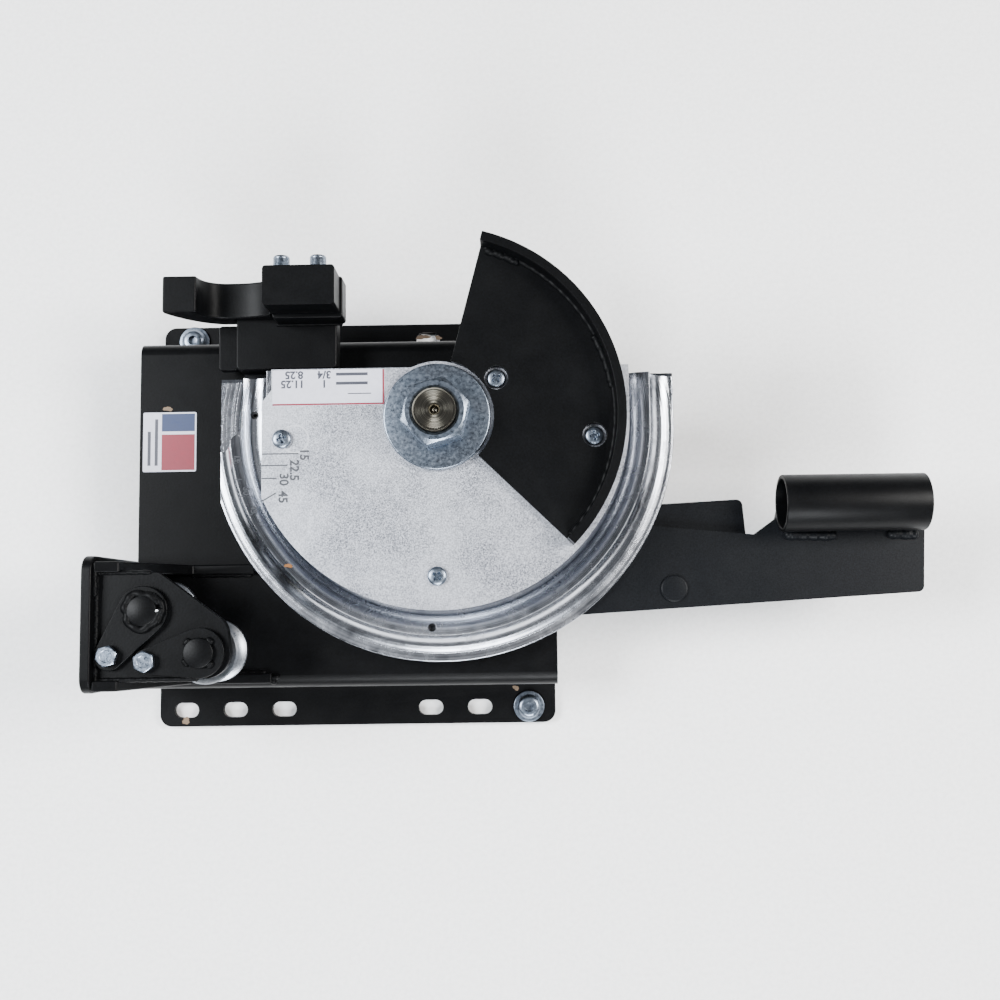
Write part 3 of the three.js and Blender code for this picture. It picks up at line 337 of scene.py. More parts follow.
def turned_steel(name):
    """Plain steel bar faced on a lathe: warm grey, glossy round the cut and dull across it, with
    feed marks about 0.5 mm apart."""
    material, tree, shader, spot = start(name, 1.0)
    shader.inputs["Anisotropic"].default_value = 0.9
    radius, _, around_it = round_the_pivot(tree, spot)
    marks = add(tree, "ShaderNodeTexNoise", {"W": radius, "Scale": per(0.9), "Detail": 3.0},
                noise_dimensions="1D")
    oil = add(tree, "ShaderNodeTexNoise", {"Vector": spot, "Scale": per(6), "Detail": 3})
    share = add(tree, "ShaderNodeMapRange", {0: marks, FROM_LOW: 0.3, FROM_HIGH: 0.7})
    cut = add(tree, "ShaderNodeMix",
              {0: share, FIRST_COLOUR: linear("#605e57"), SECOND_COLOUR: linear("#989589")},
              MIXED_COLOUR, data_type="RGBA")
    oily = add(tree, "ShaderNodeMapRange", {0: oil, FROM_LOW: 0.3, FROM_HIGH: 0.7, TO_HIGH: 0.5})
    colour = add(tree, "ShaderNodeMix", {0: oily, FIRST_COLOUR: cut, SECOND_COLOUR: linear("#7c7468")},
                 MIXED_COLOUR, data_type="RGBA")
    gloss = add(tree, "ShaderNodeMapRange",
                {0: marks, FROM_LOW: 0.3, FROM_HIGH: 0.7, TO_LOW: 0.18, TO_HIGH: 0.3})
    join(tree, shader, Base_Color=colour, Roughness=gloss, Tangent=around_it)
    return material


def sintered_bronze(name):
    """Oil-filled sintered bronze: brown-gold with an even, slightly open grain."""
    material, tree, shader, spot = start(name, 1.0)
    pores = add(tree, "ShaderNodeTexNoise", {"Vector": spot, "Scale": per(0.5)})
    share = add(tree, "ShaderNodeMapRange", {0: pores, FROM_LOW: 0.3, FROM_HIGH: 0.7})
    colour = add(tree, "ShaderNodeMix",
                 {0: share, FIRST_COLOUR: linear("#7a5a30"), SECOND_COLOUR: linear("#a57f49")},
                 MIXED_COLOUR, data_type="RGBA")
    gloss = add(tree, "ShaderNodeMapRange",
                {0: pores, FROM_LOW: 0.3, FROM_HIGH: 0.7, TO_LOW: 0.35, TO_HIGH: 0.5})
    join(tree, shader, Base_Color=colour, Roughness=gloss)
    return material


def flat_colour(name, colour, roughness=0.4):
    """One flat colour that scuffs slightly duller in patches, for printed vinyl film, dried ink, marks drawn
    for engravings, stains, the floor, painted shade in the tapped holes and a painted highlight on a weld.
    """
    material, tree, shader, spot = start(name, 0.0)
    scuff = add(tree, "ShaderNodeTexNoise", {"Vector": spot, "Scale": per(3), "Detail": 4})
    dull = (*(0.8 * value for value in linear(colour)[:3]), 1.0)
    share = add(tree, "ShaderNodeMapRange", {0: scuff, FROM_LOW: 0.3, FROM_HIGH: 0.7, TO_HIGH: 0.5})
    scuffed = add(tree, "ShaderNodeMix", {0: share, FIRST_COLOUR: linear(colour), SECOND_COLOUR: dull},
                  MIXED_COLOUR, data_type="RGBA")
    gloss = add(tree, "ShaderNodeMapRange", {0: scuff, FROM_LOW: 0.3, FROM_HIGH: 0.7,
                                             TO_LOW: roughness - 0.06, TO_HIGH: roughness + 0.1})
    join(tree, shader, Base_Color=scuffed, Roughness=gloss)
    return material


COAT = powder_coat("black_powder_coat", "#030303", "#090a0c", 0.4)
COAT_LEVER = powder_coat("black_powder_coat_lever", "#08090b", "#131518", 0.42)
# a darker copy of the coat for the weld beads: the extra darkness is painted shade, for the dark band under
# the guard's rim
COAT_WELD_AND_SHADE = powder_coat("black_powder_coat_on_weld_darkened_as_shade", "#020203", "#060708", 0.5)
DIE_METAL = turned_aluminium("turned_aluminium")
SHEET_METAL = tumbled_aluminium("tumbled_aluminium_sheet")
ZINC = zinc_plate("bright_zinc_plate", "#545b65", "#929ba8", 2.2)
ROLLER_STEEL = zinc_plate("ground_roller_steel", "#7a7c80", "#b0b2b6", 0.9)
STEEL = turned_steel("turned_steel")
BRONZE = sintered_bronze("sintered_bronze")
VINYL = flat_colour("white_vinyl", "#c9cad6")
RED_INK = flat_colour("dark_red_ink", "#7c2433")
GREY_INK = flat_colour("grey_ink", "#3b3d46")
BLUE_INK = flat_colour("blue_ink", "#273455")
# thin dark marks laid on the surface where the scale's lines and figures are engraved; the cuts themselves
# are not modelled
ENGRAVING = flat_colour("dark_engraved_mark", "#3a3c41", 0.7)
PALE_ENGRAVING = flat_colour("pale_engraving_burr", "#b9bcc2", 0.5)
RESIDUE = flat_colour("tape_residue", "#6b5947", 0.7)
# near-black flat colour laid at the floor of the tapped holes: painted shade in the holes
HOLE_SHADE = flat_colour("painted_shade_in_tapped_hole", "#141517", 0.5)
RUST = flat_colour("rust_bloom", "#8a5a2c", 0.8)
# near-white flat colour for one dot on a weld bead: a bare spot whose brightness is a painted highlight
BARE_SPOT_AND_GLINT = flat_colour("bare_weld_dot_and_painted_glint", "#e8eaee", 0.3)
FLOOR = flat_colour("pale_floor", "#ffffff", 0.8)

SLOT_FINISH = {
    "black_powder_coat": COAT,
    "machined_aluminium": DIE_METAL,
    "zinc_plate": ZINC,
    "bright_steel": STEEL,
    "bronze": BRONZE,
    "label_vinyl": VINYL,
}

# ------------------------------------------------------------------ meshes


def grid_faces(rows, columns, wrap_rows, wrap_columns):
    """Quads between neighbours of a rows by columns grid, closed round where asked."""
    i = np.arange(rows if wrap_rows else rows - 1)
    k = np.arange(columns if wrap_columns else columns - 1)
    i, k = (values.ravel() for values in np.meshgrid(i, k, indexing="ij"))
    up, on = (i + 1) % rows, (k + 1) % columns
    return np.stack([i * columns + k, i * columns + on, up * columns + on, up * columns + k], 1)


def keep(mesh_object, finish, body, nodes=(), sharp=32):
    """Rides a piece on its body, finish and shading, and hides what it replaces."""
    mesh = mesh_object.data
    mesh.materials.clear()
    mesh.materials.append(finish)
    mesh.polygons.foreach_set("use_smooth", np.ones(len(mesh.polygons), bool))
    mesh.set_sharp_from_angle(angle=math.radians(sharp))
    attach(mesh_object, body)
    if nodes:
        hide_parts(*nodes)
    return mesh_object


def raw_object(name, points, faces):
    """A mesh object from points in millimetres, doubles merged and normals turned outwards."""
    mesh = bpy.data.meshes.new(name)
    mesh.from_pydata(place(points).tolist(), [], np.asarray(faces).tolist())
    shape = bmesh.new()
    shape.from_mesh(mesh)
    bmesh.ops.remove_doubles(shape, verts=shape.verts, dist=2e-7)
    bmesh.ops.dissolve_degenerate(shape, edges=shape.edges, dist=1e-8)
    bmesh.ops.recalc_face_normals(shape, faces=shape.faces)
    shape.to_mesh(mesh)
    shape.free()
    made = bpy.data.objects.new(name, mesh)
    bpy.context.collection.objects.link(made)
    return made


def node_piece(name, points, faces, nodes, finish=None, sharp=32):
    """A finished piece that stands for the named CAD nodes."""
    made = raw_object(name, points, faces)
    slot = SLOT_OF[nodes[0]]
    return keep(made, finish or SLOT_FINISH[slot], BODY_OF[nodes[0]], nodes, sharp)


def turned(profile, centre=(0.0, 0.0), steps=96):
    """Every (radius, height) pair of the profile carried round an upright axis at centre."""
    radius, height = np.asarray(profile, float).T
    angle = np.arange(steps) * 2 * np.pi / steps
    x = centre[0] + radius[:, None] * np.cos(angle)
    y = centre[1] + radius[:, None] * np.sin(angle)
    return np.stack([x, y, np.broadcast_to(height[:, None], x.shape)], -1).reshape(-1, 3)


def lathe(name, nodes, profile, centre=(0.0, 0.0), steps=96, ring=False, finish=None, turn=None):
    """A turned piece. A ring's profile closes on itself; any other starts and ends on the axis.
    turn, when given, moves the finished points, as for a piece whose axis isn't upright."""
    points = turned(profile, centre, steps)
    if turn is not None:
        points = turn(points)
    faces = grid_faces(len(profile), steps, ring, True)
    return node_piece(name, points, faces, nodes, finish)


def rounded_ring(inner, outer, low, high, edge):
    """Profile of a washer: a rectangle whose outer corners are quarter circles."""
    bend = np.linspace(0, np.pi / 2, 5)
    bottom = [(outer - edge + edge * math.sin(a), low + edge - edge * math.cos(a)) for a in bend]
    top = [(outer - edge + edge * math.cos(a), high - edge + edge * math.sin(a)) for a in bend]
    lead = edge / 2
    return [(inner, low + lead), (inner + lead, low), *bottom, *top,
            (inner + lead, high), (inner, high - lead)]


def arc(centre, height, radius, first, last, steps):
    """Points of a circle in a profile, from one angle to another in degrees."""
    angle = np.radians(np.linspace(first, last, steps))
    return np.stack([centre + radius * np.cos(angle), height + radius * np.sin(angle)], 1).tolist()


# ------------------------------------------------------------------ pieces refined from the CAD

def refined(node, edge, finish=None, segments=2, angle=35):
    """A merged copy of a CAD node whose sharp edges are rounded by the given radius."""
    source = frame["nodes"][node].data
    shape = bmesh.new()
    shape.from_mesh(source)
    bmesh.ops.remove_doubles(shape, verts=shape.verts, dist=2e-6)
    bmesh.ops.dissolve_limit(shape, angle_limit=math.radians(0.5), verts=shape.verts, edges=shape.edges)
    mesh = bpy.data.meshes.new(f"{node}_finished")
    shape.to_mesh(mesh)
    shape.free()
    made = bpy.data.objects.new(f"{node}_finished", mesh)
    bpy.context.collection.objects.link(made)
    bevel = made.modifiers.new("rounded_edges", "BEVEL")
    bevel.width = edge * MM
    bevel.segments = segments
    bevel.limit_method = "ANGLE"
    bevel.angle_limit = math.radians(angle)
    bevel.harden_normals = True
    bevel.use_clamp_overlap = True
    slot = SLOT_OF[node]
    return keep(made, finish or SLOT_FINISH[slot], BODY_OF[node], (node,), angle)


def make_sheet_and_blocks():
    edges = {
        "base_channel": 0.7,
        "carrier_end_plate": 1.2,
        "carrier_rear_gusset": 1.0,
        "carrier_front_gusset": 1.0,
        "carrier_top_plate": 0.7,
        "pin_keeper_1": 0.6,
        "pin_keeper_2": 0.6,
        "hook_base": 1.2,
        "hook_groove_block": 1.0,
        "hook_lower_block": 0.9,
        "hook_upper_block": 1.3,
        "hook_saddle": 1.6,
        "sector_guard": 0.7,
    }
    for node, edge in edges.items():
        refined(node, edge)
    for node, edge in {"lever_plate": 0.6, "lever_stiffener": 1.1}.items():
        refined(node, edge, COAT_LEVER)
    refined("scale_plate", 0.35, SHEET_METAL)


# ------------------------------------------------------------------ the bending die

def die_section():
    """Radius and height pairs from the underside up: rim lip, large groove, ledge, small groove."""
    floor = DIE_LOW + LIP_THICKNESS
    large_centre = floor + LARGE_TUBE
    ledge = large_centre + LEDGE_RISE
    small_centre = ledge - LEDGE_RISE - SMALL_FLOOR_DROP + SMALL_TUBE
    wall = LARGE_BEND - LARGE_TUBE - 2.6
    lip = [
        (LARGE_BEND - 1.0, DIE_LOW),
        *arc(LARGE_BEND - 1.0, DIE_LOW + 1.0, 1.0, -90, 0, 4),
        *arc(LARGE_BEND - 0.8, floor - 0.8, 0.8, 0, 90, 4),
    ]
    large = arc(LARGE_BEND - 1.6, large_centre, LARGE_TUBE, 268, 184, 22)
    shelf = [(wall + 0.9, ledge - 0.5), (wall + 0.4, ledge), (wall - 0.2, ledge)]
    small = arc(SMALL_BEND, small_centre, SMALL_TUBE, 309, 180, 26)
    inner = SMALL_BEND - SMALL_TUBE
    return np.array([*lip, *large, *shelf, *small, (inner, DIE_TOP - 0.4), (inner - 0.4, DIE_TOP)])


def slab_object(name, outline, low, high):
    """A closed prism: an outline in plan raised from one height to another."""
    count = len(outline)
    points = [(x, y, low) for x, y in outline] + [(x, y, high) for x, y in outline]
    sides = [(i, (i + 1) % count, count + (i + 1) % count, count + i) for i in range(count)]
    mesh = bpy.data.meshes.new(name)
    caps = [tuple(range(count))[::-1], tuple(range(count, 2 * count))]
    mesh.from_pydata(place(points).tolist(), [], sides + caps)
    made = bpy.data.objects.new(name, mesh)
    bpy.context.collection.objects.link(made)
    return made


def circle(x, y, radius, steps=32):
    angle = np.arange(steps) * 2 * np.pi / steps
    return np.stack([x + radius * np.cos(angle), y + radius * np.sin(angle)], 1).tolist()


def cut_by(target, added, cutters):
    """Joins the added solids to a solid, takes the cutters out and keeps only the result."""
    for operation, tools in (("UNION", added), ("DIFFERENCE", cutters)):
        for tool in tools:
            step = target.modifiers.new("cut", "BOOLEAN")
            step.operation = operation
            step.object = tool
            step.solver = "EXACT"
    graph = bpy.context.evaluated_depsgraph_get()
    result = bpy.data.meshes.new_from_object(target.evaluated_get(graph))
    target.modifiers.clear()
    target.data = result
    for tool in (*added, *cutters):
        bpy.data.objects.remove(tool)


def make_die():
    """The section carried down the left side, through a half circle and up the right side, closed
    by flat faces; then the left flat, the ledge's diagonal and the holes are cut away."""
    section = die_section()
    turn = np.radians(np.linspace(180, 360, 181))
    radius, height = section[:, :1], section[:, 1:]
    x = np.hstack([-radius, radius * np.cos(turn), radius])
    y = np.hstack([0 * radius + UPPER_REAR, radius * np.sin(turn), 0 * radius + UPPER_REAR])
    rows, columns = x.shape
    points = np.stack([x, y, np.broadcast_to(height, x.shape)], -1).reshape(-1, 3)
    faces = grid_faces(rows, columns, False, False).tolist()
    last = (rows - 1) * columns
    faces.append(list(range(columns)))
    faces.append([last + k for k in range(columns)])
    left_end = [i * columns for i in range(rows)]
    right_end = [i * columns + columns - 1 for i in reversed(range(rows))]
    faces.append(left_end + right_end)
    die = raw_object("bending_die_finished", points, [])
    die.data.clear_geometry()
    die.data.from_pydata(place(points).tolist(), [], faces)
    shape = bmesh.new()
    shape.from_mesh(die.data)
    bmesh.ops.recalc_face_normals(shape, faces=shape.faces)
    shape.to_mesh(die.data)
    shape.free()
    far = 400
    cutters = [
        slab_object("flat_cut", [(-far, -far), (DIE_LEFT, -far), (DIE_LEFT, far), (-far, far)], 0, far),
        slab_object("ledge_cut", [(-far, -13.7), (LEDGE_LEFT - 13.3, -13.7), (LEDGE_LEFT, -0.4),
                                  (LEDGE_LEFT, far), (-far, far)], DIE_LOW + LIP_THICKNESS + 0.25, far),
        slab_object("bush_cut", circle(0, 0, STUD_RADIUS + 2 * CLEARANCE + 3, 48), 0, far),
        slab_object("tapped_cut_1", circle(*TAPPED[0], TAPPED_RADIUS), TAPPED_LOW, far),
        slab_object("tapped_cut_2", circle(*TAPPED[1], TAPPED_RADIUS), TAPPED_LOW, far),
    ]
    for i in range(4):
        x, y = middle(f"plate_screw_{i + 1}")
        cutters.append(slab_object(f"screw_cut_{i}", circle(x, y, 3.3, 24), 0, far))
    half = LARGE_BEND - 0.35
    lip = slab_object("rear_lip", [(-half, 12), (half, 12), (half, DIE_REAR), (-half, DIE_REAR)],
                      DIE_LOW + 0.2, DIE_LOW + LIP_THICKNESS - 0.2)
    cut_by(die, [lip], cutters)
    bevel = die.modifiers.new("broken_edges", "BEVEL")
    bevel.width = 0.35 * MM
    bevel.segments = 2
    bevel.limit_method = "ANGLE"
    bevel.angle_limit = math.radians(40)
    bevel.harden_normals = True
    keep(die, DIE_METAL, BODY_OF["bending_die"], ("bending_die",), 30)
    # dark rings at the floor of both tapped holes: painted shade in the holes
    for i, spot in enumerate(TAPPED):
        flat_ring(f"thread_shade_{i + 1}", spot, 1.3, 2.52, TAPPED_LOW - 0.1, 7.5, HOLE_SHADE,
                  "die_and_lever")


# ------------------------------------------------------------------ pivot, washers and rollers

def make_stud():
    low = level("pivot_stud", 0)
    top = level("pivot_stud", 1)
    flange = low + STUD_FLANGE
    profile = [
        (0, low), (33.4, low), (34, low + 0.6), (34, flange - 0.6), (33.4, flange),
        (STUD_RADIUS, flange),
        (STUD_RADIUS, top - 2.0), (STUD_RADIUS - 0.5, top - 1.5), (STUD_RADIUS - 0.5, top - 1.1),
        (STUD_RADIUS - 1.3, top - 0.3), (STUD_RADIUS - 1.7, top), (3.6, top), (3.1, top - 0.4),
        (1.3, top - 3.6), (1.2, top - 4.8), (0, top - 5.4),
    ]
    lathe("pivot_stud_finished", ["pivot_stud"], profile, steps=128)


def make_washers():
    """Every plain ring, as a washer with its outer edges rounded."""
    clear = STUD_RADIUS + CLEARANCE
    pin_clear = PIN_RADIUS + CLEARANCE
    rings = {
        "pivot_washer": (clear, 31.75, 0.9, (0, 0)),
        "thrust_washer": (clear, 30.0, 0.4, (0, 0)),
        "pivot_bush": (clear, clear + 3, 0.4, (0, 0)),
        "lever_spacer": (clear, 30.0, 0.4, (0, 0)),
        "bench_screw_front_washer": (5.0, 10.2, 0.4, middle("bench_screw_front_washer")),
        "bench_screw_rear_washer": (5.0, 10.2, 0.4, middle("bench_screw_rear_washer")),
        "large_roller_bush": (pin_clear, pin_clear + 1.6, 0.2, LARGE_PIN),
        "small_roller_bush": (pin_clear, pin_clear + 1.6, 0.2, SMALL_PIN),
        "large_roller_spacer": (pin_clear, pin_clear + 3.2, 0.3, LARGE_PIN),
        "small_roller_spacer": (pin_clear, pin_clear + 3.2, 0.3, SMALL_PIN),
    }
    for node, (inner, outer, edge, centre) in rings.items():
        profile = rounded_ring(inner, outer, level(node, 0), level(node, 1), edge)
        lathe(f"{node}_finished", [node], profile, centre, 128, ring=True)


def hex_head(name, node, centre, flats, low, high, turn, core):
    """A hexagon clipped by a cone: the radius at each angle is the smaller of the hexagon's and
    the cone's at that height. core is the rest of the profile, back to the underside."""
    steps = 192
    angle = np.arange(steps) * 2 * np.pi / steps
    within = np.mod(angle + np.pi / 6, np.pi / 3) - np.pi / 6
    hexagon = flats / 2 / np.cos(within)
    corner = flats / math.sqrt(3)
    drop = (corner - 0.475 * flats) * 0.55
    rise = np.linspace(0, 1, 9)
    lower = [(0.475 * flats + (corner - 0.475 * flats) * t, low + drop * t) for t in rise]
    upper = [(corner + (0.475 * flats - corner) * t, high - drop + drop * t) for t in rise]
    cone = np.array([*lower, *upper, *core])
    radius = np.minimum(cone[:, :1], hexagon)
    spin = angle + math.radians(turn + 30)
    x = centre[0] + radius * np.cos(spin)
    y = centre[1] + radius * np.sin(spin)
    points = np.stack([x, y, np.broadcast_to(cone[:, 1:], x.shape)], -1).reshape(-1, 3)
    faces = grid_faces(len(cone), steps, True, True)
    return node_piece(name, points, faces, [node], sharp=24)


def make_nut():
    low = level("pivot_nut", 0)
    top = level("pivot_nut", 1)
    inner = STUD_RADIUS + CLEARANCE
    core = [(inner + 1.6, top), (inner, top - 1.4), (inner, low + 1.0), (inner + 1.0, low)]
    hex_head("pivot_nut_finished", "pivot_nut", (0, 0), 36.0, low, top, 16, core)


def make_keeper_bolts():
    for i in (1, 2):
        node = f"keeper_bolt_{i}"
        top = level(node, 1)
        head = top - BOLT_HEAD
        dish = [(3.6, top), (3.2, top - 0.25), (0.0, top - 0.25)]
        shank = [(0.0, level(node, 0)), (3.0, level(node, 0)), (3.2, level(node, 0) + 0.4), (3.2, head)]
        centre = middle(node)
        hex_head(f"{node}_finished", node, centre, 11.1, head, top, 15 + 20 * (i - 1), dish + shank)
        for k, turn in enumerate((20, 140, 260)):
            angle = math.radians(turn + 25 * i)
            c, s = math.cos(angle), math.sin(angle)
            first = (centre[0] + 1.2 * c, centre[1] + 1.2 * s)
            last = (centre[0] + 4.4 * c, centre[1] + 4.4 * s)
            line = stroke(first, last, 0.7)
            printed(f"{node}_mark_{k + 1}", line, top - 0.3, 0.4, ZINC, "base")


def make_plate_screws():
    """Pan heads: a dome whose height falls away by the cross recess, two crossed tapering slots."""
    steps = 96
    angle = np.arange(steps) * 2 * np.pi / steps
    for i, turn in enumerate((20, 50, 35, 10)):
        node = f"plate_screw_{i + 1}"
        centre = middle(node)
        foot = level(node, 0)
        top = level(node, 1)
        seat = top - PAN_HEAD
        share = np.linspace(0, 1, 30)
        radius = 5.6 * share
        dome = seat + 1.1 + 1.8 * np.sqrt(np.clip(1 - (share * 0.985) ** 3, 0, 1))
        x = radius[:, None] * np.cos(angle)
        y = radius[:, None] * np.sin(angle)
        arm = np.maximum(
            np.clip((0.85 - np.abs(y)) / 0.35, 0, 1) * np.clip((3.0 - np.abs(x)) / 1.2, 0, 1),
            np.clip((0.85 - np.abs(x)) / 0.35, 0, 1) * np.clip((3.0 - np.abs(y)) / 1.2, 0, 1),
        )
        z = dome[:, None] - 1.7 * arm
        spin = angle + math.radians(turn)
        head = np.stack([radius[:, None] * np.cos(spin), radius[:, None] * np.sin(spin), z], -1)
        below = [(5.6, seat + 0.4), (5.3, seat), (3.0, seat), (3.0, foot + 0.5), (2.6, foot), (0, foot)]
        side = turned(below).reshape(-1, steps, 3)
        points = np.vstack([head, side]).reshape(-1, 3) + (*centre, 0)
        faces = grid_faces(len(head) + len(side), steps, False, True)
        node_piece(f"{node}_finished", points, faces, [node], sharp=40)


def make_bench_screws():
    for node in ("bench_screw_front", "bench_screw_rear"):
        top = level(node, 1)
        foot = level(node, 0)
        head = top - BOLT_HEAD
        profile = [
            (0, foot), (3.6, foot), (4, foot + 0.4), (4, head), (7.8, head), (8, head + 0.3),
            (8, head + 1.2), *arc(4.4, head + 1.0, 3.4, 8, 80, 8), (3.2, top), (2.9, top - 0.3),
            (2.9, top - 2.8), (0, top - 3.2),
        ]
        lathe(f"{node}_finished", [node], profile, middle(node))


def make_hook_screws():
    """Socket-cap screws that lie along Y: a knurled head with a round-cornered socket."""
    for node in ("hook_screw_1", "hook_screw_2"):
        low, high = (np.array(corner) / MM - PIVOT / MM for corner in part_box(node))
        head = high[1] - CAP_HEAD
        foot = low[1]
        x, z = (low[0] + high[0]) / 2, (low[2] + high[2]) / 2
        profile = [
            (0, foot), (2.7, foot), (3, foot + 0.4), (3, head), (4.9, head), (5, head + 0.3),
            *[(5.0 - 0.16 * (k % 2), head + 0.7 + 0.42 * k) for k in range(15)],
            (4.9, head + 7.3), (4.4, head + 8.0), (3.9, head + 8.2), (2.6, head + 8.2),
            (2.4, head + 7.8),
            (2.4, head + 4.4), (0, head + 4.0),
        ]
        lathe(f"{node}_finished", [node], profile, steps=72,
              turn=lambda points, x=x, z=z: points[:, [0, 2, 1]] + (x, 0, z))


def make_rollers():
    """Spool rollers: the groove is an arc of the tube's circle, centred on the tube's own axis."""
    rollers = {
        "large_roller": (LARGE_PIN, 18.4, LARGE_TUBE, -LARGE_BEND),
        "small_roller": (SMALL_PIN, 18.9, SMALL_TUBE, -SMALL_BEND),
    }
    bore = PIN_RADIUS + 3 * CLEARANCE + 1.6
    for node, (pin, rim, tube, tube_x) in rollers.items():
        low, high = level(node, 0), level(node, 1)
        reach = tube_x - pin[0]
        groove = tube + 0.4
        open_angle = math.degrees(math.asin((reach - rim + 0.3) / groove))
        profile = [
            (bore, low + 0.4), (bore + 0.4, low), (rim - 0.8, low), (rim, low + 0.8),
            *arc(reach, (low + high) / 2, groove, 270 - open_angle, 90 + open_angle, 28),
            (rim, high - 0.8), (rim - 0.8, high), (bore + 0.4, high), (bore, high - 0.4),
        ]
        lathe(f"{node}_finished", [node], profile, pin, 128, ring=True, finish=ROLLER_STEEL)


def make_pins():
    """Roller pins and the lever's pin: plain shanks with a low flat head, chamfered round."""
    for node in ("large_roller_pin", "small_roller_pin"):
        foot, top = level(node, 0), level(node, 1)
        seat = top - PIN_HEAD
        profile = [
            (0, foot), (5.0, foot), (5.5, foot + 0.5), (5.5, seat), (8.6, seat), (8.8, seat + 0.3),
            (8.8, top - 0.9), (8.5, top - 0.3), (8.0, top), (0, top),
        ]
        lathe(f"{node}_finished", [node], profile, middle(node))
    foot, top = level("lever_pin", 0), level("lever_pin", 1)
    joint = level("lever_plate", 0) - CLEARANCE
    profile = [
        (0, foot), (7.6, foot), (8, foot + 0.4), (8, joint), (6, joint), (6, LEVER_TOP + CLEARANCE),
        (8.3, LEVER_TOP + CLEARANCE), (8.3, top - 0.5), (7.8, top - 0.1), (7.3, top), (0, top),
    ]
    lathe("lever_pin_finished", ["lever_pin"], profile, middle("lever_pin"), finish=COAT_LEVER)


def make_handle_socket():
    """A tube that lies along X: the ring's height becomes X and its radius stands in Y and Z."""
    low, high = ((np.array(corner) - PIVOT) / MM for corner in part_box("handle_socket"))
    y, z = (low[1] + high[1]) / 2, (low[2] + high[2]) / 2
    profile = rounded_ring(15.1, 17.5, low[0], high[0], 0.6)
    lathe("handle_socket_finished", ["handle_socket"], profile, steps=128, ring=True, finish=COAT,
          turn=lambda points: np.stack([points[:, 2], points[:, 0] + y, points[:, 1] + z], 1))


# ------------------------------------------------------------------ weld beads

def bead(name, path, radius, body, finish=COAT_WELD_AND_SHADE, ripple=2.2):
    """A weld bead: a round section carried along a path, its radius swelling once each ripple and
    shrinking like a half ellipse at both ends."""
    path = np.array(path, float)
    steps = np.linalg.norm(np.diff(path, axis=0), axis=1)
    reach = np.concatenate([[0], np.cumsum(steps)])
    count = max(24, int(reach[-1] / 0.4))
    s = np.linspace(0, reach[-1], count)
    line = np.stack([np.interp(s, reach, path[:, axis]) for axis in range(3)], 1)
    ahead = np.gradient(line, axis=0)
    ahead /= np.linalg.norm(ahead, axis=1)[:, None]
    up = np.where(np.abs(ahead[:, 2:]) > 0.8, (1.0, 0.0, 0.0), (0.0, 0.0, 1.0))
    side = np.cross(ahead, up)
    side /= np.linalg.norm(side, axis=1)[:, None]
    rise = np.cross(side, ahead)
    end = np.minimum(s, reach[-1] - s) / radius
    taper = np.sqrt(np.clip(1 - (1 - np.clip(end, 0, 1)) ** 2, 0, 1))
    swell = 1 + 0.09 * np.abs(np.sin(np.pi * s / ripple)) + 0.1 * np.sin(s * 0.9 + radius)
    angle = np.arange(14) * 2 * np.pi / 14
    size = (radius * swell * taper)[:, None, None]
    ring = side[:, None] * np.cos(angle)[:, None] + rise[:, None] * np.sin(angle)[:, None]
    points = (line[:, None] + size * ring).reshape(-1, 3)
    made = raw_object(name, points, grid_faces(count, 14, False, True))
    return keep(made, finish, body, sharp=60)


def around(centre, radius, first, last, height, wobble=0.0):
    """Points of an arc in plan, whose radius wanders by the wobble."""
    angle = np.radians(np.linspace(first, last, 60))
    r = radius + wobble * np.sin(3 * angle + 1) + 0.6 * wobble * np.sin(7 * angle)
    return np.stack([centre[0] + r * np.cos(angle), centre[1] + r * np.sin(angle), 0 * r + height], 1)


